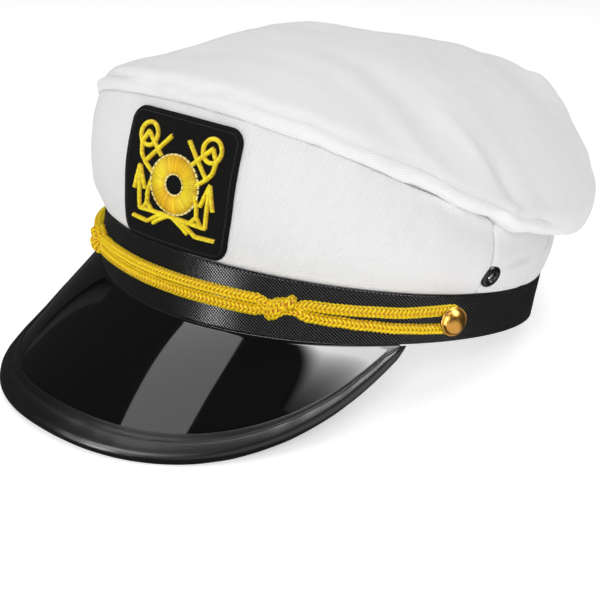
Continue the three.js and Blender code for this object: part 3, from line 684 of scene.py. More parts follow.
def braid_tree(finish):
    """Plaits yarns round a path. The path's points carry out, a direction, and squeeze, a share."""
    tree, ids, given = geometry_tree("plaited_cord", (
        ("Yarns Each Way", "NodeSocketInt", 6),
        ("Lay Length", "NodeSocketFloat", 0.01),
        ("Middle Radius", "NodeSocketFloat", 0.00137),
        ("Weave Depth", "NodeSocketFloat", 0.00036),
        ("Columns", "NodeSocketInt", 3),
        ("Yarn Radius", "NodeSocketFloat", 0.00053),
        ("Yarn Sides", "NodeSocketInt", 5),
        ("Step", "NodeSocketFloat", 0.0005),
        ("Is Closed", "NodeSocketFloat", 1.0),
    ))
    amount = node(tree, MATH, "MULTIPLY", (given["Yarns Each Way"], 2.0))
    many = node(tree, "GeometryNodeDuplicateElements", {"domain": "SPLINE"}, {
        0: spaced_path(tree, given, "Step"), "Amount": amount,
    })
    index = many.node.outputs["Duplicate Index"]
    doubled = node(tree, MATH, "MULTIPLY", (node(tree, MATH, "MODULO", (index, 2.0)), 2.0))
    side = node(tree, MATH, "SUBTRACT", (doubled, 1.0))
    number = node(tree, MATH, "FLOOR", [node(tree, MATH, "DIVIDE", (index, 2.0))])
    start = node(tree, MATH, "DIVIDE", (number, given["Yarns Each Way"]))
    whole_length = node(tree, "GeometryNodeSplineLength", output="Length")
    free_turns = node(tree, MATH, "DIVIDE", (whole_length, given["Lay Length"]))
    whole_turns = node(tree, MATH, "MAXIMUM", (node(tree, MATH, "ROUND", [free_turns]), 1.0))
    used_turns = node(tree, MAP_RANGE, {}, {
        "Value": given["Is Closed"], "To Min": free_turns, "To Max": whole_turns,
    })
    share = node(tree, "GeometryNodeSplineParameter", output="Factor")
    wound = node(tree, MATH, "MULTIPLY", (node(tree, MATH, "MULTIPLY", (share, used_turns)), side))
    angle = node(tree, MATH, "MULTIPLY", (node(tree, MATH, "ADD", (wound, start)), FULL_TURN))
    wave = node(tree, MATH, "SINE", [node(tree, MATH, "MULTIPLY", (angle, given["Columns"]))])
    over = node(tree, MATH, "MULTIPLY", (wave, side))
    squeeze = node(tree, CARRIED, NUMBER, {"Name": "squeeze"})
    depth = node(tree, MATH, "MULTIPLY", (over, given["Weave Depth"]))
    radius = node(tree, MATH, "MULTIPLY", (node(tree, MATH, "ADD", (given["Middle Radius"], depth)), squeeze))
    tangent = node(tree, "GeometryNodeInputTangent")
    out = node(tree, CARRIED, DIRECTION, {"Name": "out"})
    crossed = node(tree, VECTOR_MATH, "CROSS_PRODUCT", (tangent, out))
    beside = node(tree, VECTOR_MATH, "NORMALIZE", [crossed])
    facing = node(tree, VECTOR_MATH, "CROSS_PRODUCT", (beside, tangent))
    moves = []
    for direction, ratio in ((facing, "COSINE"), (beside, "SINE")):
        length = node(tree, MATH, "MULTIPLY", (radius, node(tree, MATH, ratio, [angle])))
        moves.append(node(tree, VECTOR_MATH, "SCALE", {0: direction, "Scale": length}))
    moved = node(tree, VECTOR_MATH, "ADD", moves)
    # Lift is 1 where a yarn lies over and 0 where it sinks under; the finish paints shade by it
    lift = node(tree, MATH, "ADD", (node(tree, MATH, "MULTIPLY", (over, 0.5)), 0.5))
    thickness = node(tree, MATH, "POWER", (squeeze, 0.5))
    section = (given["Yarn Sides"], given["Yarn Radius"], thickness)
    thread_bodies(tree, many, lift, ("Offset", moved), section, finish)
    return tree, ids


def stitch_tree(finish):
    """Lays arched stitches across a line. Its points carry across, up, half, tall and a mark for the finish: a
    share of painted sheen, or -1 for a dash.
    """
    tree, ids, given = geometry_tree("satin_stitches", (
        ("Pitch", "NodeSocketFloat", 0.0004),
        ("Thread Radius", "NodeSocketFloat", 0.00024),
        ("Thread Sides", "NodeSocketInt", 5),
        ("Arch Points", "NodeSocketInt", 7),
        ("Slant", "NodeSocketFloat", 0.25),
        ("Unevenness", "NodeSocketFloat", 0.06),
        ("Seed", "NodeSocketInt", 3),
        ("Tone Spread", "NodeSocketFloat", 0.12),
    ))
    line = node(tree, "GeometryNodeMeshLine", {"mode": "END_POINTS"}, {
        "Count": given["Arch Points"], "Start Location": (0, 0, 0), "Offset": (0.00001, 0, 0),
    })
    many = node(tree, "GeometryNodeInstanceOnPoints", {}, {
        "Points": spaced_path(tree, given, "Pitch"), "Instance": node(tree, MESH_TO_CURVE, {}, [line]),
    })
    whole = node(tree, REALIZE, {}, [many])
    doubled = node(tree, MATH, "MULTIPLY", (node(tree, "GeometryNodeSplineParameter", output="Factor"), 2.0))
    share = node(tree, MATH, "SUBTRACT", (doubled, 1.0))
    rest = node(tree, MATH, "SUBTRACT", (1.0, node(tree, MATH, "MULTIPLY", (share, share))))
    arch = node(tree, MATH, "SQRT", [node(tree, MATH, "MAXIMUM", (rest, 0.0))])
    across, up = (
        node(tree, VECTOR_MATH, "NORMALIZE", [node(tree, CARRIED, DIRECTION, {"Name": name})])
        for name in ("across", "up")
    )
    along = node(tree, VECTOR_MATH, "CROSS_PRODUCT", (across, up))
    half, tall = (node(tree, CARRIED, NUMBER, {"Name": name}) for name in ("half", "tall"))
    number = node(tree, "GeometryNodeFieldOnDomain", {"data_type": "INT", "domain": "CURVE"}, [
        node(tree, "GeometryNodeInputIndex"),
    ])
    uneven = node(tree, RANDOM, NUMBER, {
        "Min": node(tree, MATH, "SUBTRACT", (1.0, given["Unevenness"])),
        "Max": node(tree, MATH, "ADD", (1.0, given["Unevenness"])),
        "ID": number, "Seed": given["Seed"],
    }, "Value")
    reach = node(tree, MATH, "MULTIPLY", (share, half))
    rise = node(tree, MATH, "MULTIPLY", (node(tree, MATH, "MULTIPLY", (arch, tall)), uneven))
    slant = node(tree, MATH, "MULTIPLY", (reach, given["Slant"]))
    place = node(tree, "GeometryNodeInputPosition")
    for direction, length in ((across, reach), (up, rise), (along, slant)):
        moved = node(tree, VECTOR_MATH, "SCALE", {0: direction, "Scale": length})
        place = node(tree, VECTOR_MATH, "ADD", (place, moved))
    strand = node(tree, RANDOM, NUMBER, {"Min": -1.0, "Max": 1.0, "ID": number, "Seed": 8}, "Value")
    spread = node(tree, MATH, "MULTIPLY", (strand, given["Tone Spread"]))
    # Lift is the arch, which the finish paints as shade at the roots, plus a random tone per stitch
    lift = node(tree, MATH, "ADD", (arch, spread))
    section = (given["Thread Sides"], given["Thread Radius"], 1.0)
    thread_bodies(tree, whole, lift, ("Position", place), section, finish)
    return tree, ids


def follow_path(name, tree, ids, chains, values):
    """Runs a tree over chains of points. A chain has points, is_closed and the attributes it carries."""
    points, edges, start = [], [], 0
    carried = {}
    for chain in chains:
        count = len(chain["points"])
        points.append(chain["points"])
        edges += [(start + i, start + i + 1) for i in range(count - 1)]
        if chain["is_closed"]:
            edges.append((start + count - 1, start))
        for key, rows in chain["carries"].items():
            carried.setdefault(key, []).append(np.broadcast_to(rows, (count,) + np.shape(rows)[1:]))
        start += count
    mesh = bpy.data.meshes.new(name + "_path")
    mesh.from_pydata(standing(np.concatenate(points)).tolist(), edges, [])
    for key, parts in carried.items():
        rows = np.concatenate(parts)
        is_vector = rows.ndim == 2
        kind, field = ("FLOAT_VECTOR", "vector") if is_vector else ("FLOAT", "value")
        layer = mesh.attributes.new(key, kind, "POINT")
        layer.data.foreach_set(field, (turned(rows) if is_vector else rows).ravel())
    carrier = new_object(name + "_path", mesh)
    modifier = carrier.modifiers.new("threads", "NODES")
    modifier.node_group = tree
    for label, value in values.items():
        modifier[ids[label]] = value
    graph = bpy.context.evaluated_depsgraph_get()
    made = bpy.data.meshes.new_from_object(carrier.evaluated_get(graph))
    bpy.data.objects.remove(carrier)
    return new_object(name, made)


def on_root(piece, slot, *nodes):
    """Seats a finished piece on the hat's one body, in place of its nodes. Gloss mirrors the studio alone."""
    piece.visible_glossy = False
    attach(piece, "root")
    if nodes:
        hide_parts(*nodes)


# ---------- camera and lights ----------

FLOOR_GLOW, FLOOR_REACH, SKY_GLOW = 0.5, 12.0, 0.06
# The camera: its place in metres, its axes, and the angle that it sees from side to side
CAMERA_PLACE = (0.28882, -0.34805, 0.20445)
CAMERA_RIGHT = (0.75976, 0.64905, 0.03872)
CAMERA_UP = (-0.28350, 0.27709, 0.91807)
CAMERA_BACK = (0.58514, -0.70849, 0.39453)
CAMERA_ANGLE = 30.318

# Lights, which gloss doesn't see: place, aim, width and height in metres, and power in watts
LIGHTS = {
    "key": ((1.0, -1.7, 1.2), (0, 0, 0.06), (1.0, 0.9), 23.2),
    "fill": ((-1.5, -1.0, 1.1), (0, 0, 0.06), (1.2, 1.2), 3.5),
    "overhead": ((0, 0.1, 2.0), (0, 0, 0), (2.0, 2.0), 20),
    "rear": ((0.8, 1.6, 1.2), (0, 0, 0.08), (1.2, 0.8), 4.0),
}

# Cards, which only gloss sees: corners in metres, glow, and the share of the width that fades in
CARDS = (
    {"name": "strip_card", "glow": 2.4, "fade": 0.001,
     "corners": ((-1.2, 0.78, 1.3), (-1.0, 0.82, 1.3), (0.34, -0.76, 1.3), (-0.36, -0.78, 1.3))},
    {"name": "side_card", "glow": 0.35, "fade": 0.16, "gain": 138.0,
     "corners": ((-0.28, 0.25, 1.3), (2.2, 0.25, 1.3), (2.2, -0.35, 1.3), (0.82, -0.35, 1.3))},
    {"name": "side_tail", "glow": 8.0, "fade": 0.2,
     "corners": ((-0.5, 0.8, 1.3), (2.2, 0.8, 1.3), (2.2, 0.25, 1.3), (-0.28, 0.25, 1.3))},
    {"name": "left_card", "glow": 0.14, "fade": 0.9,
     "corners": ((-1.3, 0.5, 0.75), (-1.22, 0.28, 0.72), (-1.47, 0.08, 0.2), (-1.5, 0.24, 0.2))},
    {"name": "front_card", "glow": 8.0, "fade": 0.9,
     "corners": ((1.3, -1.1, 1.1), (-0.5, -1.3, 1.1), (-0.5, -1.3, 0.3), (1.3, -1.1, 0.3))},
    {"name": "sheen_card", "glow": 17.0, "fade": 0.8, "limit": 20.0,
     "corners": ((0.2, -1.32, 0.17), (-0.36, -1.26, 0.17), (-0.36, -1.26, -0.4), (0.2, -1.32, -0.4))},
    {"name": "under_card", "glow": 1.0, "fade": 0.001,
     "corners": ((0.1, 0.04, -0.03), (2.6, 0.3, -0.03), (2.6, -1.6, -0.03), (0.1, -1.6, -0.03))},
)


def add_camera():
    data = bpy.data.cameras.new("camera")
    data.sensor_fit = "HORIZONTAL"
    data.angle = math.radians(CAMERA_ANGLE)
    camera = new_object("camera", data)
    turn = Matrix((CAMERA_RIGHT, CAMERA_UP, CAMERA_BACK)).transposed().to_4x4()
    camera.matrix_world = Matrix.Translation(CAMERA_PLACE) @ turn
    bpy.context.scene.camera = camera


def add_light(name, place, aim, size, power):
    """A rectangular studio light."""
    data = bpy.data.lights.new(name, "AREA")
    data.shape = "RECTANGLE"
    data.size, data.size_y = size
    data.energy = power
    light = new_object(name, data)
    light.location = place
    light.rotation_euler = (Vector(aim) - Vector(place)).to_track_quat("-Z", "Y").to_euler()
    light.visible_glossy = False


def add_card(name, corners, glow, fade, gain=1.0, limit=16.0):
    """A glowing card: it fades in from its first side, and is brighter by a gain at its top."""
    mesh = bpy.data.meshes.new(name)
    mesh.from_pydata(corners, [], [(0, 1, 2, 3)])
    layer = mesh.uv_layers.new(name="cloth")
    for corner, place in enumerate(((0, 1), (1, 1), (1, 0), (0, 0))):
        layer.data[corner].uv = place
    made = bpy.data.materials.new(name)
    made.use_nodes = True
    tree = made.node_tree
    tree.nodes.remove(tree.nodes["Principled BSDF"])
    spot = node(tree, "ShaderNodeSeparateXYZ", {}, [node(tree, UV_MAP, CLOTH_MAP)]).node.outputs
    across = node(tree, MAP_RANGE, {"interpolation_type": "SMOOTHSTEP"}, {
        "Value": spot[0], "From Max": fade, "To Max": glow,
    })
    power = node(tree, MATH, "MULTIPLY", (across, node(tree, MATH, "POWER", (gain, spot[1]))))
    shine = node(tree, "ShaderNodeEmission", {}, {
        "Color": (1, 1, 1, 1), "Strength": node(tree, MATH, "MINIMUM", (power, limit)),
    })
    tree.links.new(shine, tree.nodes["Material Output"].inputs["Surface"])
    mesh.materials.append(made)
    card = new_object(name, mesh)
    card.visible_camera = card.visible_diffuse = card.visible_shadow = False


def add_studio():
    world = bpy.data.worlds.new("studio")
    world.use_nodes = True
    sky = world.node_tree.nodes["Background"]
    sky.inputs["Color"].default_value = (1, 1, 1, 1)
    sky.inputs["Strength"].default_value = SKY_GLOW
    bpy.context.scene.world = world
    bpy.context.scene.view_settings.view_transform = "Standard"
    for name, light in LIGHTS.items():
        add_light(name, *light)
    for card in CARDS:
        add_card(**card)
    mesh = bpy.data.meshes.new("floor")
    corners = [(x * FLOOR_REACH, y * FLOOR_REACH, 0) for x, y in ((-1, -1), (1, -1), (1, 1), (-1, 1))]
    mesh.from_pydata(corners, [], [(0, 1, 2, 3)])
    mesh.materials.append(pale_floor())
    floor = new_object("floor", mesh)
    floor.visible_glossy = False


add_camera()
add_studio()

wall_twill = white_twill("wall_twill", 0.12)
top_twill = white_twill("top_twill", 0.03)
ribbon = black_ribbon()
vinyl = glossy_peak()
binding_vinyl = moulded_binding()
braid_yarn = gold_braid()
brass = polished_brass()
enamel = black_enamel()
nickel = worn_nickel()
badge_twill = badge_cloth()
silk = gold_thread()


# ---------- crown ----------

# Slack folds of the top panel in plan: valleys have a depth above 0, swells one below 0
FOLDS = (
    {"start": (20, -42), "end": (99, -39), "width": 18, "depth": 1.9},
    {"start": (84, -24), "end": (105, -15), "width": 9, "depth": 2.2},
    {"start": (60, -58), "end": (92, -52), "width": 8, "depth": -1.2},
    {"start": (70, -32), "end": (98, -28), "width": 6, "depth": -1.0},
    {"start": (86, 52), "end": (84, 78), "width": 7, "depth": 2.0},
    {"start": (40, 82), "end": (64, 88), "width": 22, "depth": -5.0},
    {"start": (20, 72), "end": (56, 86), "width": 16, "depth": -3.6},
    {"start": (-66, -78), "end": (-28, -34), "width": 22, "depth": 3.2},
    {"start": (-52, -24), "end": (-4, -2), "width": 17, "depth": -1.7},
    {"start": (-12, 2), "end": (14, 64), "width": 20, "depth": 1.9},
    {"start": (-30, -92), "end": (-8, -40), "width": 26, "depth": 2.6},
    {"start": (-80, -30), "end": (-40, 10), "width": 16, "depth": 2.0},
    {"start": (-86, 30), "end": (-50, 60), "width": 12, "depth": 1.8},
    {"start": (-30, 96), "end": (10, 70), "width": 12, "depth": 1.8},
)
# Width of the rolled welt along the seam of the top panel, by angle from the front
WELT = {"angle": (0, 16, 30, 45, 54, 62, 72, 84, 100), "width": (5.2, 6.6, 6.6, 7.4, 8.4, 10.4, 12.4, 13.5, 15)}
WELT_HEIGHT, WELT_DIP, WELT_LINE, WELT_LINE_AT, WELT_ENDS = 1.2, 1.15, 0.25, 0.42, (104, 84)
# Section of the roll over the seam: where it starts, how flat it is under and over its widest point,
# and how far it is drawn in at the front: share, and the angles where that begins and is full
ROLL_START, ROLL_UNDER, ROLL_OVER = -60, 0.3, 0.55
ROLL_GENTLE, ROLL_TIGHT = (0.85, 78, 50), (0.92, 68, 48)
# Sag of the roll behind both eyelets, by angle from the front and distance from the seam
SAG = {"depth": 8.5, "angle": 120, "spread": 20, "distance": 9, "reach": 8}
PUFF_DEPTH, PUFF_ANGLE, PUFF_SPREAD = 2.4, -52, 17
TUCKED_IN = -(BAND_WALL - BAND_FLARE + SEAT_GAP)
# Counts of points, and how far the top's rows crowd towards its seam
WALL_ROWS, TOP_COLUMNS, TOP_ROWS, TOP_FINE_ROWS, TOP_CROWDING = 62, 432, 106, 320, 0.38
EYELET_CLEARANCE = 0.75


def puffed(angle):
    """Slack of the wall near the front corner at the wearer's right, which stands out a little."""
    return PUFF_DEPTH * hump(np.asarray(angle, float), PUFF_ANGLE, PUFF_SPREAD)


def along_oval(angle):
    """Distance round the hat from the middle of its front, in millimetres."""
    return np.asarray(angle, float) * math.pi * (HALF_WIDTH + HALF_LENGTH + 8) / 360


def seam_angle(seam, rise):
    """Where a side seam of the wall runs: the rear ones lean back as they rise."""
    return seam + (np.sign(sin_deg(seam)) * REAR_SEAM_LEAN * rise if cos_deg(seam) < 0 else 0 * rise)


# Small creases of the wall, by distance round from the front and height: start, end, width, depth
WALL_CREASES = (
    {"start": (140.0, 36.5), "end": (160.0, 39.5), "width": 1.6, "depth": 0.9},
    {"start": (139.0, 34.0), "end": (162.0, 36.5), "width": 2.2, "depth": -0.5},
    {"start": (128.0, 44.0), "end": (112.0, 31.0), "width": 5.0, "depth": 0.5},
    {"start": (62.0, 70.0), "end": (70.0, 52.0), "width": 4.0, "depth": 0.5},
    {"start": (96.0, 58.0), "end": (101.0, 44.0), "width": 4.0, "depth": 0.5},
)


def crease(u, height, line):
    """How much of a small crease is felt at a place: 1 along its middle, fading at its ends."""
    start, end = np.array(line["start"]), np.array(line["end"])
    run = end - start
    x, y = u - start[0], height - start[1]
    share = np.clip((x * run[0] + y * run[1]) / (run @ run), 0, 1)
    away = np.hypot(x - share * run[0], y - share * run[1]) / line["width"]
    return np.sin(np.pi * (0.1 + 0.8 * share)) * np.exp(-away * away)


def wall_cloth(name, seams, steps, eyelets):
    """One panel of the crown's wall, from the tuck in the band to the seam of the top panel."""
    half_seam = SEAT_GAP / 2 / PER_DEGREE
    shown = np.concatenate([[0], np.linspace(0, 1, WALL_ROWS) ** 0.9])[None, :]
    first, last = seam_angle(seams[0], shown) + half_seam, seam_angle(seams[1], shown) - half_seam
    angle = first + np.linspace(0, 1, steps)[:, None] * (last - first)
    foot = band_top(angle)
    top = crown_value("seam_height", angle)
    u = along_oval(angle)
    height = foot + shown * (top - foot)
    from_seam = np.minimum(u - along_oval(first), along_oval(last) - u)
    below_top = top - height
    turned_in = TUCKED_IN * (1 - smooth(shown, 0, 0.03))
    slack = ripples(u, height, "wall slack") * smooth(shown, 0.05, 0.3)
    pleats = ripples(u, height * 0.25, "wall pleats") * hump(below_top, 0, 7)
    drawn_seam = ripples(u * 0, height, "wall seam") * hump(from_seam, 0, 5)
    stitched = sewn_line("wall stitching", from_seam) + drawn_seam
    dents = sum(-dent["depth"] * crease(np.abs(u), height, dent) for dent in WALL_CREASES)
    out = turned_in + slack + pleats + sewn_line("wall seam", from_seam) + stitched
    out = out + sewn_line("top seam", below_top) + dents
    out = out + puffed(angle) * (smooth(shown, 0.5, 0.88) + 0.8 * hump(shown, 0.2, 0.13))
    outer = wall_point(angle, shown, out)
    outer[:, -1, 2] += SEAT_GAP
    outer[:, 0] = oval(angle[:, 0], TUCKED_IN, foot[:, 0] - CROWN_TUCK)
    inner = outer - unit(oval(angle, 0, 0) * [1, 1, 0]) * CLOTH_WALL
    kept = np.ones((steps - 1, WALL_ROWS), bool)
    middle = (outer[:-1, :-1] + outer[1:, 1:]) / 2
    for eyelet in eyelets:
        seat = wall_point(eyelet, EYELET_RISE)
        kept &= np.linalg.norm(middle - seat, axis=-1) > EYELET_BARREL + EYELET_CLEARANCE
    panel = shell(name + "_cloth", outer, inner, wall_twill, uv=stack(u, height), kept=kept)
    on_root(panel, "crown_cloth", name)


def top_section(angle, count):
    """The outer side of the top panel at one angle: evenly spaced points from its seam to the middle."""
    seam_out = crown_value("seam_out", angle) + puffed(angle)
    seam_height = crown_value("seam_height", angle) + SEAT_GAP
    roll_out = crown_value("roll_out", angle)
    roll_height = crown_value("roll_height", angle)
    under = np.linspace(0, 1, 8)[:-1]
    turn = np.linspace(ROLL_START, 90, 40)
    flat = np.where(turn < 0, ROLL_UNDER, ROLL_OVER)
    reach = flat + (1 - flat) * cos_deg(turn)
    rise = 0.5 + 0.5 * sin_deg(turn)
    reach = np.concatenate([under * reach[0], reach])
    rise = np.concatenate([under ** 2 * rise[0], rise])
    gentle, tight = (
        share * smooth(abs(angle), begins, full) for share, begins, full in (ROLL_GENTLE, ROLL_TIGHT)
    )
    reach = reach * (1 - gentle * (1 - smooth(rise, 0, 0.42))) * (1 - tight)
    roll = oval(angle, seam_out + roll_out * reach, seam_height + roll_height * rise)
    rim = roll[-1]
    inwards = np.linspace(1, 0, 90)[1:]
    dome = stack(
        rim[0] * inwards,
        DOME_SETBACK + (rim[1] - DOME_SETBACK) * inwards,
        DOME_HEIGHT + (rim[2] - DOME_HEIGHT) * inwards ** DOME_POWER,
    )
    section = np.concatenate([roll, dome])
    length = run_of(section)[-1]
    return on_line(section, np.linspace(0, length, count)), length


def eased(section, spread):
    """A run of points rounded over by a spread of neighbours, with its two ends kept."""
    taps = np.arange(-3 * spread, 3 * spread + 1)
    weights = np.exp(-(taps / spread) ** 2 / 2)
    weights /= weights.sum()
    size = len(section)
    place = np.clip(np.arange(size)[:, None] + taps[None, :], 0, size - 1)
    softened = (section[place] * weights[None, :, None]).sum(1)
    edge = np.minimum(np.arange(size), size - 1 - np.arange(size))
    share = smooth(edge, 0, 3 * spread)[:, None]
    share[size // 2:] = 1
    return section * (1 - share) + softened * share


def valley(points, fold):
    """How far a slack fold pulls cloth down: a valley from one point in plan to another."""
    start, end = np.array(fold["start"], float), np.array(fold["end"], float)
    run = end - start
    offset = points[..., :2] - start
    share = np.clip(offset @ run / (run @ run), 0, 1)
    away = np.linalg.norm(offset - share[..., None] * run, axis=-1) / fold["width"]
    return fold["depth"] * np.sin(np.pi * share) * np.exp(-3 * away * away)


# Short tucks of the top panel, by distance round from the front and up from its seam
TUCKS = (
    {"start": (-54.0, 6.0), "end": (-14.0, 3.4), "width": 1.7, "depth": 1.9},
    {"start": (-56.0, 10.5), "end": (-20.0, 8.5), "width": 3.2, "depth": -1.1},
    {"start": (56.0, -0.5), "end": (62.0, 2.5), "width": 2.4, "depth": 1.1},
    {"start": (92.0, 0.0), "end": (97.0, 3.8), "width": 2.6, "depth": 1.1},
    {"start": (124.0, 6.0), "end": (131.0, 11.0), "width": 3.4, "depth": 1.8},
    {"start": (131.0, 9.0), "end": (136.0, 15.0), "width": 3.0, "depth": -1.2},
    {"start": (147.0, 13.0), "end": (156.0, 17.0), "width": 3.2, "depth": 1.7},
    {"start": (-128.0, 6.0), "end": (-136.0, 13.0), "width": 3.2, "depth": 1.6},
    {"start": (-96.0, 1.0), "end": (-90.0, 5.0), "width": 2.4, "depth": 1.0},
)


def top_cloth():
    """The top panel: a rolled welt along its seam, overhanging sides and a slack dome."""
    angles = np.linspace(-180, 180, TOP_COLUMNS, endpoint=False)
    sections, lengths = zip(*(top_section(angle, TOP_FINE_ROWS) for angle in angles))
    grid = np.stack([eased(section, 6) for section in sections])
    lengths = np.array(lengths)[:, None]
    share = np.linspace(0, 1, TOP_ROWS)
    share = (1 - TOP_CROWDING) * share + TOP_CROWDING * share ** 2.4
    place = share * (TOP_FINE_ROWS - 1)
    low = np.minimum(place.astype(int), TOP_FINE_ROWS - 2)
    past = (place - low)[None, :, None]
    grid = grid[:, low] * (1 - past) + grid[:, low + 1] * past
    distance = share[None, :] * lengths
    angle = angles[:, None]
    u = along_oval(angle)
    width = np.interp(np.abs(angle), WELT["angle"], WELT["width"]) + ripples(u, 0 * u, "welt width")
    sewn = smooth(np.abs(angle), *WELT_ENDS)
    fade = smooth(share, 1.0, 0.55)[None, :]
    puckers = ripples(u, distance * 0.2, "top puckers") * hump(distance, 0, 8) * smooth(distance, 0.2, 2.5)
    roll = WELT_HEIGHT * np.sin(np.pi * np.clip(distance / width, 0, 1)) ** 1.4
    dip = -WELT_DIP * hump(distance, width + 0.3, np.where(distance < width, 1.2, 3.2))
    line = -WELT_LINE * hump(distance, WELT_LINE_AT * width, 0.6)
    welt = sewn * (roll + dip + line)
    slack = ripples(grid[..., 0], grid[..., 1], "top slack") * smooth(distance, 8, 26)
    wander = ripples(grid[..., 0], grid[..., 1], "top wander") * smooth(distance, 3, 14) * fade
    sag = SAG["depth"] * hump(np.abs(angle), SAG["angle"], SAG["spread"])
    sag = sag * hump(distance, SAG["distance"], SAG["reach"]) * smooth(distance, 0, 5)
    tucks = sum(-tuck["depth"] * crease(along_oval(angle), distance, tuck) for tuck in TUCKS)
    relief = puckers + welt + slack + wander + tucks
    middle_row = TOP_ROWS // 2
    normals = normals_of(grid, True)
    if normals[:, middle_row, 2].mean() < 0:
        normals = -normals
    outer = grid + normals * relief[..., None]
    outer[..., 2] -= sag
    for fold in FOLDS:
        outer[..., 2] -= valley(grid, fold)
    outer[:, -1] = outer[:, -2].mean(0)
    facing = normals_of(outer, True)
    if facing[:, middle_row, 2].mean() < 0:
        facing = -facing
    inner = outer - facing * CLOTH_WALL
    inner[:, -1] = outer[0, -1] - [0, 0, CLOTH_WALL]
    spokes = unit(grid[:, TOP_ROWS // 3, :2] - [0, DOME_SETBACK])[:, None, :]
    uv = spokes * (lengths - distance)[..., None]
    panel = shell("crown_top_cloth", outer, inner, top_twill, is_loop=True, uv=uv)
    on_root(panel, "crown_cloth", "crown_top")


# Panels of the wall: the angles of its seams, its columns of points and its eyelets
WALL_PANELS = {
    "crown_front": ((-FRONT_SEAM, FRONT_SEAM), 206, (EYELET_ANGLE, -EYELET_ANGLE)),
    "crown_side_left": ((FRONT_SEAM, REAR_SEAM), 40, (EYELET_ANGLE,)),
    "crown_side_right": ((-REAR_SEAM, -FRONT_SEAM), 40, (-EYELET_ANGLE,)),
    "crown_back": ((REAR_SEAM, 360 - REAR_SEAM), 200, ()),
}
for panel, (seams, columns, eyelets) in WALL_PANELS.items():
    wall_cloth(panel, seams, columns, eyelets)
top_cloth()


# ---------- band ----------

SELVEDGE_DEPTH = 0.05


def rest_height(y):
    """The plane that the hat stands on, in its own frame."""
    return BAND_PRESSED + (y - HALF_LENGTH) * REST_SLOPE


def band_ribbon():
    """The ribbon round the head opening, with rounded selvedges, standing on its pressed rear."""
    angle = np.linspace(-180, 180, 480, endpoint=False)[:, None]
    face = np.linspace(0.06, 0.94, 22)[1:-1]
    back = np.linspace(0.94, 0.06, 6)[1:-1]
    profile = [(0.15, 0.0), (0.55, -0.002), (0.85, 0.004)]
    profile += [(1.0, up) for up in (0.02, 0.05, *face, 0.95, 0.98)]
    profile += [(0.85, 0.996), (0.55, 1.002), (0.15, 1.0)]
    profile += [(0.0, up) for up in (0.98, *back, 0.02)]
    out_share, up_share = (np.array(column)[None, :] for column in zip(*profile))
    bottom, top = band_bottom(angle), band_top(angle)
    height = bottom + (top - bottom) * up_share
    is_face = out_share > 0.9
    soft = ripples(along_oval(angle), height, "ribbon slack") * is_face
    soft = soft * np.sin(np.pi * np.clip(up_share, 0, 1))
    edge = SELVEDGE_DEPTH * (hump(up_share, 0.045, 0.02) + hump(up_share, 0.955, 0.02))
    out = BAND_FLARE * up_share - BAND_WALL * (1 - out_share) + soft - edge * is_face
    points = oval(angle, out, height)
    points[..., 2] = np.maximum(points[..., 2], rest_height(points[..., 1]) + 0.02 * (1 - out_share))
    uv = stack(along_oval(angle), height + 4 * out_share)
    piece = tube("band_ribbon", points, ribbon, is_loop=True, uv=uv.reshape(-1, 2))
    on_root(piece, "band_ribbon", "band")


band_ribbon()


# ---------- peak and its binding ----------

# Roundness of the bead's outer side, and its top's height as a share of BEAD_HALF
BEAD_ROUND, BEAD_TOP_SHARE = 3.2, 0.82


def peak_reach(angle):
    """How far the peak stands out from the band at an angle."""
    share = np.abs(angle) / PEAK_END
    return PEAK_DEPTH * (1 - share ** PEAK_POWER) ** PEAK_ROOT


def peak_directions(angle):
    """The way that the peak runs outwards at an angle, and the normal of its upper side."""
    drop = np.radians(PEAK_DROP + PEAK_SIDE_DROP * (1 - cos_deg(angle)))
    level = outward(PEAK_SPLAY * angle)
    up = np.array([0.0, 0.0, 1.0])
    away = level * np.cos(drop)[..., None] - up * np.sin(drop)[..., None]
    normal = level * np.sin(drop)[..., None] + up * np.cos(drop)[..., None]
    return away, normal


def peak_point(angle, share):
    """A point of the peak's upper side: share is 0 at the band and 1 at the outer edge."""
    away, normal = peak_directions(angle)
    reach = peak_reach(angle)
    lift = 4 * share * (1 - share) * PEAK_LIFT * (reach / PEAK_DEPTH)
    lift = lift - PEAK_BEND * smooth(-angle, *PEAK_BEND_SPAN) * share * share
    foot = oval(angle, 0, band_bottom(angle) - SEAT_GAP * (1 - share))
    return foot + away * (reach * share)[..., None] + normal * np.asarray(lift)[..., None]


def binding_narrow(angle):
    """The share of its width that the binding keeps where the peak runs out."""
    return np.minimum(1, peak_reach(angle) / (FLANGE + 2))


def peak_edge_point(angle, along, above):
    """A point over the peak's surface, by distance in from its outer edge."""
    inward = np.where(along < 0, along * binding_narrow(angle), along)
    _, normal = peak_directions(angle)
    return peak_point(angle, 1 + inward / peak_reach(angle)) + normal * np.asarray(above)[..., None]


def peak_angles(count):
    """Angles along the peak, closer together towards its ends."""
    share = np.linspace(-1, 1, count)
    return PEAK_CUT * sin_deg(PEAK_CROWDING * share) / sin_deg(PEAK_CROWDING)


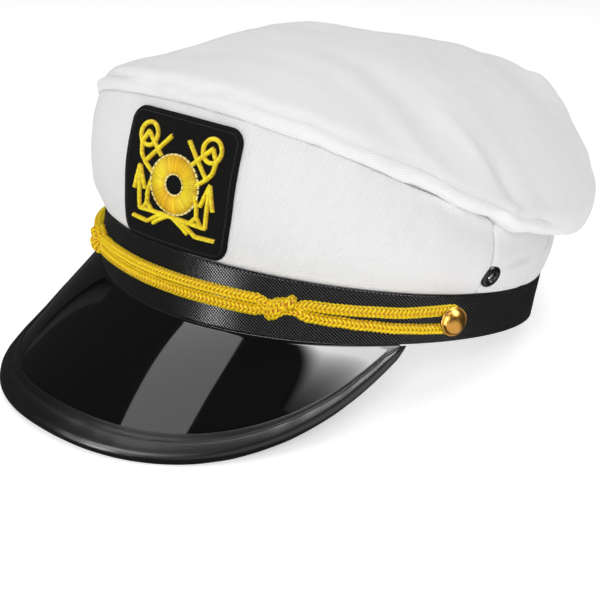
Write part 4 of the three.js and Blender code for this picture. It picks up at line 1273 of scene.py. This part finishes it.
def peak_sheet():
    """The pressed vinyl sheet, from under the band to under its binding."""
    angle = peak_angles(260)[:, None]
    flange_share = 1 - (FLANGE * binding_narrow(angle)) / peak_reach(angle)
    foot = band_bottom(angle) - SEAT_GAP
    top = [oval(angle, -PEAK_TUCK, foot), oval(angle, -0.2, foot)]
    for share in np.linspace(0.02, 1, 60):
        top.append(peak_point(angle, share * flange_share))
    for along in (-0.75, -0.5, -0.25):
        top.append(peak_edge_point(angle, along * FLANGE + 0 * angle, 0 * angle))
    top.append(peak_edge_point(angle, -PEAK_INSET + 0 * angle, 0 * angle))
    outer = np.concatenate(top, axis=1)
    _, normal = peak_directions(angle)
    normal = np.broadcast_to(normal, outer.shape).copy()
    normal[:, 0] = (0, 0, 1)
    normal[:, 1] = unit(normal[:, 1] + [0, 0, 1])
    piece = shell("peak_sheet", outer, outer - normal * PEAK_WALL, vinyl)
    on_root(piece, "peak_plastic", "peak")


def binding_strip():
    """The binding: a flat flange with a crease, a round bead over the edge and a lip under it."""
    tail = np.linspace(PEAK_CUT, BINDING_END, 12)[1:]
    angle = np.concatenate([-tail[::-1], peak_angles(300), tail])[:, None]
    tall = np.minimum(1, binding_narrow(angle) / binding_narrow(PEAK_CUT))
    lap = BINDING_GAP + FLANGE_WALL
    under = -PEAK_WALL - BINDING_GAP
    section = [
        (-FLANGE, BINDING_GAP - 0.1), (-FLANGE - 0.08, lap - 0.4), (-FLANGE + 0.12, lap - 0.1),
        (-FLANGE + 0.4, lap + 0.02), (-FLANGE + 0.9, lap), (-FLANGE + 1.8, lap - 0.12),
        (-BEAD_WIDTH - 0.55, lap - 0.2), (-BEAD_WIDTH - 0.15, lap - 0.32), (-BEAD_WIDTH + 0.25, lap - 0.1),
        (-BEAD_WIDTH + 0.8, lap + 0.3), (-BEAD_WIDTH + 1.7, lap + 0.72), (-BEAD_WIDTH + 2.8, lap + 1.05),
    ]
    for turn in np.linspace(78, -90, 20):
        height = np.sign(sin_deg(turn)) * abs(sin_deg(turn)) ** 0.8 * (BEAD_TOP_SHARE if turn > 0 else 1)
        section.append((-BEAD_ROUND + BEAD_ROUND * cos_deg(turn) ** 0.7, BEAD_HALF * height))
    section += [
        (-5.2, -BEAD_HALF), (-6.2, -BEAD_HALF - 0.02),
        (-BINDING_LIP, -BEAD_HALF + 0.25), (-BINDING_LIP - 0.1, -BEAD_HALF + 0.7),
        (-BINDING_LIP, under), (-4.0, under), (-1.1, under),
        (-1.1, BINDING_GAP), (-4.0, BINDING_GAP), (-8.0, BINDING_GAP),
    ]
    along, above = (np.array(column)[None, :] for column in zip(*section))
    level = 0 * angle[:, 0]
    run = run_of(peak_edge_point(angle[:, 0], level - 4.0, level))[:, None]
    is_seat = (along <= -1.0) & (np.abs(above - BINDING_GAP) < 0.02)
    is_bead = (above > -2.9) & (along > -BEAD_WIDTH - 0.1) & ~is_seat & (above > -BEAD_HALF)
    ripple = ripples(run, 3 * above, "binding wander") + ripples(run, along, "binding slack")
    rings = peak_edge_point(angle, along + 0 * angle, (above + ripple * is_bead) * tall)
    rings[..., 2] = np.maximum(rings[..., 2], rest_height(rings[..., 1]) + 0.02)
    on_root(tube("binding_strip", rings, binding_vinyl), "binding_plastic", "peak_binding")


peak_sheet()
binding_strip()


# ---------- cord and knots ----------

def cord_height(strand, angle):
    """Height of one strand over the foot of the band, eased from one row of its route to the next."""
    angles = np.array(CORD_ROUTE["angle"], float)
    heights = np.array(CORD_ROUTE[strand], float)
    side = np.minimum(np.abs(angle), angles[-1])
    row = np.clip(np.searchsorted(angles, side, side="right"), 1, len(angles) - 1)
    share = (side - angles[row - 1]) / (angles[row] - angles[row - 1])
    return heights[row - 1] + (heights[row] - heights[row - 1]) * share * share * (3 - 2 * share)


def cord_loop():
    """The cord: one closed plaited loop, both strands and a turn round each button's shank."""
    reach = CORD_ROUTE["angle"][-1]
    run = np.linspace(-reach, reach, 220)
    turn_radius = CORD_RADIUS + SEAT_GAP + SHANK_RADIUS
    bends = np.linspace(90, -90, 19)
    around_left = BUTTON_ANGLE + turn_radius * cos_deg(bends) / PER_DEGREE
    angle = np.concatenate([run, around_left, run[::-1], -around_left])
    height = np.concatenate([
        cord_height("upper", run), BUTTON_HEIGHT + turn_radius * sin_deg(bends),
        cord_height("lower", run[::-1]), BUTTON_HEIGHT - turn_radius * sin_deg(bends),
    ])
    in_knot = 1 - smooth(np.abs(np.abs(angle) - KNOT_ANGLE), KNOT_SPAN - 1.5, KNOT_SPAN - 0.3)
    squeeze = 1 - (1 - CORD_SQUEEZED / CORD_RADIUS) * in_knot
    return {"points": on_band(angle, CORD_OUT, height), "is_closed": True, "carries": {
        "out": outward(angle), "squeeze": squeeze,
    }}


# Turns of a sliding knot: place along the cord, lean, half height, depth, middle height and thickness
KNOT_TURNS = (
    {"slide": -4.0, "lean": 0.7, "tall": 1.7, "deep": 2.7, "lift": -1.0, "girth": 0.82},
    {"slide": -2.8, "lean": 1.0, "tall": 2.6, "deep": 3.9, "lift": -0.9, "girth": 0.88},
    {"slide": -1.2, "lean": 1.2, "tall": 2.6, "deep": 3.9, "lift": -0.6, "girth": 0.88},
    {"slide": 0.5, "lean": 1.2, "tall": 2.2, "deep": 3.0, "lift": 0.1, "girth": 0.82},
    {"slide": 2.7, "lean": 0.8, "tall": 1.4, "deep": 3.5, "lift": 1.9, "girth": 0.88},
)
KNOT_ROOT, KNOT_NEAREST, KNOT_BEND = 1.6, 1.2, 118


def knot_turns(side):
    """A sliding knot: leaning turns of the cord wound into a ball over both strands, and its tucked end."""
    chains = []
    for turn in KNOT_TURNS:
        bend = np.linspace(KNOT_BEND, -KNOT_BEND, 40)
        out = KNOT_ROOT + turn["deep"] * cos_deg(bend)
        slide = turn["slide"] + turn["lean"] * sin_deg(bend)
        angle = side * (KNOT_ANGLE + slide / PER_DEGREE)
        height = KNOT_HEIGHT + turn["lift"] + turn["tall"] * sin_deg(bend)
        beside = stack(cos_deg(angle), sin_deg(angle), 0 * angle)
        points = on_band(angle, np.maximum(out, KNOT_NEAREST), height)
        chains.append({"points": points, "is_closed": False, "carries": {
            "out": beside, "squeeze": turn["girth"] * (0.75 + 0.25 * smooth(np.abs(bend), KNOT_BEND, 80)),
        }})
    return chains


plait, plait_ids = braid_tree(braid_yarn)
on_root(follow_path("cord_braid", plait, plait_ids, [cord_loop()], {}), "gold_braid", "cord")
for label, side in (("left", 1), ("right", -1)):
    knot = follow_path("knot_%s_braid" % label, plait, plait_ids, knot_turns(side), {"Is Closed": 0.0})
    on_root(knot, "gold_braid", "knot_%s" % label)


# ---------- buttons and eyelets ----------

def arc(middle, radii, start, end, count):
    """Points of a turned profile: an arc round a middle, from one angle to another."""
    turn = np.linspace(start, end, count)
    return list(zip(middle[0] + radii[0] * cos_deg(turn), middle[1] + radii[1] * sin_deg(turn)))


def button_head(label, side):
    """A domed button: a rolled rim, a shallow dome and the shank that holds it."""
    rear = CORD_OUT + CORD_RADIUS + SEAT_GAP
    rim = (BUTTON_RADIUS - BUTTON_ROLL, rear + 0.45)
    profile = [(0.0, SEAT_GAP), (SHANK_RADIUS, SEAT_GAP), (SHANK_RADIUS, rear - 0.2)]
    profile.append((SHANK_RADIUS + 0.3, rear))
    profile += [(BUTTON_RADIUS - 0.8, rear - 0.02), (BUTTON_RADIUS - 0.35, rear + 0.02)]
    profile += arc(rim, (BUTTON_ROLL, BUTTON_ROLL), -70, 110, 10)
    profile.append((BUTTON_RADIUS - 0.75, rear + 0.72))
    profile += arc((0.0, rear + 0.7), (BUTTON_RADIUS - 0.85, BUTTON_DOME - 0.7), 6, 90, 18)
    profile[-1] = (0.0, profile[-1][1])
    angle = side * BUTTON_ANGLE
    place = (on_band(angle, 0.0, BUTTON_HEIGHT), outward(angle))
    on_root(lathe("button_%s_brass" % label, profile, place, brass, 64), "button_brass", "button_%s" % label)


EYELET_CURL = ((1.2, -1.3), (1.2, -0.5), (1.35, -0.2), (1.7, -0.05), (2.0, -0.25), (2.1, -0.6), (2.1, -1.3))


def eyelet_ring(label, side):
    """A vent eyelet: a rolled flange outside, a barrel through the cloth and a curled end."""
    angle = side * EYELET_ANGLE
    seat = wall_point(angle, EYELET_RISE)
    beside, above = wall_point(angle + 1, EYELET_RISE), wall_point(angle, EYELET_RISE + 0.05)
    place = (seat, unit(np.cross(beside - seat, above - seat)))
    profile = [(EYELET_HOLE, -CLOTH_WALL - 1.2), (EYELET_HOLE - 0.05, -0.4)]
    profile += arc((EYELET_HOLE + 0.75, 0.55), (0.8, 0.75), 180, 90, 6)
    profile += arc((EYELET_RADIUS - 1.45, 0.25), (1.45, 1.05), 90, -20, 9)
    profile += [(EYELET_RADIUS - 0.5, -0.1), (EYELET_BARREL, -0.1), (EYELET_BARREL, -CLOTH_WALL - 0.6)]
    profile.append((EYELET_BARREL - 0.2, -CLOTH_WALL - 1.2))
    for part, outline, finish, sides in (("ring", profile, enamel, 48), ("lining", EYELET_CURL, nickel, 36)):
        piece = lathe("eyelet_%s_%s" % (label, part), outline, place, finish, sides)
        on_root(piece, "eyelet_metal", "eyelet_%s" % label)


for label, side in (("left", 1), ("right", -1)):
    button_head(label, side)
    eyelet_ring(label, side)


# ---------- badge ----------

PATCH_ROWS = 111
# The slack foot of the badge: shares that it is drawn in and out by, and how far it is lower and tilts
FOOT_IN, FOOT_OUT, FOOT_LOWER, FOOT_TILT = 0.06, 0.07, 0.95, 0.45
# Values of the stitch tree's inputs, with lengths in metres
ANCHOR_STITCHES = {"Pitch": 0.00056, "Thread Radius": 0.00029, "Tone Spread": 0.3, "Unevenness": 0.12}
RING_STITCHES = {
    "Pitch": 0.0005, "Slant": 0.0, "Arch Points": 12, "Unevenness": 0.1, "Thread Radius": 0.00022,
    "Tone Spread": 0.26,
}
DASH_STITCHES = {
    "Pitch": 0.0003, "Slant": 0.0, "Arch Points": 4, "Thread Radius": 0.00016, "Unevenness": 0.0,
}


def badge_slack(across, up):
    """Where the foot of the badge lies: a little lower, drawn in on one side and out on the other."""
    foot = smooth(-up, 4, 24)
    across = across * (1 - FOOT_IN * foot * (across > 0) + FOOT_OUT * foot * (across < 0))
    return across, up - (FOOT_LOWER - FOOT_TILT * across / (PATCH_WIDTH / 2)) * smooth(-up, 12, 24.5)


def crowded(count, power=1.35):
    """Shares from -1 to 1 that lie closer together towards both ends."""
    share = np.linspace(-1, 1, count)
    return np.sign(share) * (1 - (1 - np.abs(share)) ** power)


def badge_patch():
    """The badge cloth: a rounded square with a soft edge that follows the crown."""
    up = crowded(PATCH_ROWS) * PATCH_HEIGHT / 2
    corner = np.maximum(0, np.abs(up) - (PATCH_HEIGHT / 2 - PATCH_CORNER))
    half = PATCH_WIDTH / 2 - PATCH_CORNER + np.sqrt(np.maximum(0, PATCH_CORNER ** 2 - corner ** 2))
    across = half[:, None] * crowded(PATCH_ROWS)[None, :]
    up = np.broadcast_to(up[:, None], across.shape)
    edge = np.minimum(half[:, None] - np.abs(across), PATCH_HEIGHT / 2 - np.abs(up))
    across, up = badge_slack(across, up)
    thick = PATCH_WALL * (0.35 + 0.65 * smooth(edge, -0.05, 0.9)) + ripples(across, up, "badge slack")
    thick = thick + sewn_line("badge edge", edge)
    front = badge_point(across, up, SEAT_GAP + thick)
    back = badge_point(across, up, SEAT_GAP)
    piece = shell("badge_patch", front, back, badge_twill, uv=stack(across, up))
    on_root(piece, "badge_cloth", "patch")


def badge_line(corners, is_closed=False, pitch=0.8):
    """Evenly spaced points along a line of the badge, with its directions there."""
    corners = np.asarray(corners, float)
    if is_closed:
        corners = np.concatenate([corners, corners[:1]])
    length = run_of(corners)[-1]
    count = max(4, int(round(length / pitch)))
    flat = on_line(corners, np.linspace(0, length, count + 1))
    if is_closed:
        flat = flat[:-1]
        run = unit(np.roll(flat, -1, 0) - np.roll(flat, 1, 0))
    else:
        run = unit(np.gradient(flat, axis=0))
    return flat, np.stack([-run[:, 1], run[:, 0]], -1)


# The last argument is a share of painted sheen that the finish reads, and -1 marks a dash of paler thread
def stitched_line(corners, half, tall, foot, is_closed=False, painted_sheen_and_dash_mark=0.0):
    """A chain for the stitches: places on the badge cloth, their cross direction and their normal."""
    flat, cross = badge_line(corners, is_closed)
    here = badge_point(flat[:, 0], flat[:, 1], foot)
    beside = badge_point(flat[:, 0] + cross[:, 0] * 0.2, flat[:, 1] + cross[:, 1] * 0.2, foot)
    raised = badge_point(flat[:, 0], flat[:, 1], foot + 0.2)
    across = unit(beside - here)
    up = raised - here
    up = unit(up - across * (up * across).sum(-1, keepdims=True))
    half, tall = (np.broadcast_to(size, len(flat)) * 0.001 for size in (half, tall))
    return {"points": here, "is_closed": is_closed, "carries": {
        "across": across, "up": up, "half": half, "tall": tall, "painted_sheen_and_dash_mark": np.broadcast_to(painted_sheen_and_dash_mark, len(flat)),
    }}


def round_line(middle, radii, turn):
    """Points of an oval round a middle, at some turns in radians."""
    return np.stack([middle[0] + radii[0] * np.cos(turn), middle[1] + radii[1] * np.sin(turn)], -1)


def ring_line(radius, turn):
    """Points of the ring, which the slack of the cloth draws into a slight oval."""
    return round_line(RING_PLACE, (RING_STRETCH[0] * radius, RING_STRETCH[1] * radius), turn)


def underlay(chains, share):
    """Padding under the stitches: low rounded bodies in the same thread."""
    points, faces, start = [], [], 0
    bow = np.linspace(0, math.pi, 7)
    for chain in chains:
        carries = chain["carries"]
        side = (carries["half"] * 1000 * share)[:, None] * np.cos(bow)[None, :]
        rise = (carries["tall"] * 1000 * share)[:, None] * np.sin(bow)[None, :]
        moved = side[..., None] * carries["across"][:, None] + rise[..., None] * carries["up"][:, None]
        rings = chain["points"][:, None] + moved
        count, size = rings.shape[:2]
        faces += ring_faces(count, size, chain["is_closed"], start)
        points.append(rings.reshape(-1, 3))
        start += count * size
    return np.concatenate(points), faces


def emblem_threads():
    """Raised embroidery: a thick ring of radial stitches over two crossed anchors of satin lines."""
    lines = []
    for order, mirror in enumerate((-1, 1)):
        shackle = round_line(
            (mirror * SHACKLE["across"], SHACKLE["up"]), (SHACKLE["radius"], SHACKLE["radius"]),
            np.linspace(0, FULL_TURN, 48, endpoint=False),
        )
        lines.append(stitched_line(shackle, LINE_HALF, LINE_HEIGHT, THREAD_FOOT, True))
        for number, corners in enumerate(ANCHOR_BARS):
            drawn = [(x * mirror, y) for x, y in corners]
            foot = THREAD_FOOT + 0.04 * (number % 3) + 0.05 * order
            lines.append(stitched_line(drawn, LINE_HALF, LINE_HEIGHT, foot))
    middle, half = (RING_RADIUS + RING_HOLE) / 2, (RING_RADIUS - RING_HOLE) / 2
    places = ring_line(middle, np.linspace(0, FULL_TURN, 90, endpoint=False))
    laid, _ = badge_line(places, True)
    # Painted sheen of the ring: a share that paints its stitches darker in two opposite sectors and lighter
    # between them
    shaded = 0.5 + 0.5 * np.cos(2 * np.arctan2(laid[:, 1], laid[:, 0]) - math.radians(RING_SHADE_TURN))
    ring = [stitched_line(places, half, RING_HEIGHT, THREAD_FOOT + 0.1, True, shaded)]
    edges = []
    for radius, dashes in RING_DASHES:
        for turn in np.linspace(0, FULL_TURN, dashes, endpoint=False):
            bow = turn + np.linspace(-0.3, 0.3, 4) * FULL_TURN / dashes
            edges.append(stitched_line(
                ring_line(radius, bow), DASH_HALF, DASH_HEIGHT, THREAD_FOOT + 0.5, painted_sheen_and_dash_mark=-1.0))
    satin, satin_ids = stitch_tree(silk)
    for name, chains, stitches in (
        ("emblem_anchor_stitches", lines, ANCHOR_STITCHES),
        ("emblem_ring_stitches", ring, RING_STITCHES),
        ("emblem_edge_stitches", edges, DASH_STITCHES),
    ):
        on_root(follow_path(name, satin, satin_ids, chains, stitches), "gold_thread", "emblem")
    points, faces = underlay(lines + ring, 0.86)
    on_root(new_piece("emblem_padding", points, faces, silk), "gold_thread", "emblem")


def badge_seam():
    """The running stitch, just inside the edge, that sews the badge on."""
    right, top, bend = (size - SEAM_INSET for size in (PATCH_WIDTH / 2, PATCH_HEIGHT / 2, PATCH_CORNER))
    corners = ((right, top, 0), (-right, top, 90), (-right, -top, 180), (right, -top, 270))
    turn = np.linspace(0, 90, 8)
    line = np.concatenate([np.stack([
        x - math.copysign(bend, x) + bend * cos_deg(start + turn),
        y - math.copysign(bend, y) + bend * sin_deg(start + turn),
    ], -1) for x, y, start in corners])
    line = np.concatenate([line, line[:1]])
    length = run_of(line)[-1]
    chains = []
    for number in range(SEAM_DASHES):
        run = (number + np.linspace(0, SEAM_SHARE, 5)) / SEAM_DASHES * length
        dash = np.stack(badge_slack(*on_line(line, run).T), -1)
        chains.append(stitched_line(dash, SEAM_HALF, SEAM_HEIGHT, THREAD_FOOT - 0.2))
    running, running_ids = stitch_tree(sewing_thread())
    stitches = {**DASH_STITCHES, "Slant": 0.5}
    seam = follow_path("badge_seam_stitches", running, running_ids, chains, stitches)
    on_root(seam, "badge_cloth", "patch")


badge_patch()
badge_seam()
emblem_threads()
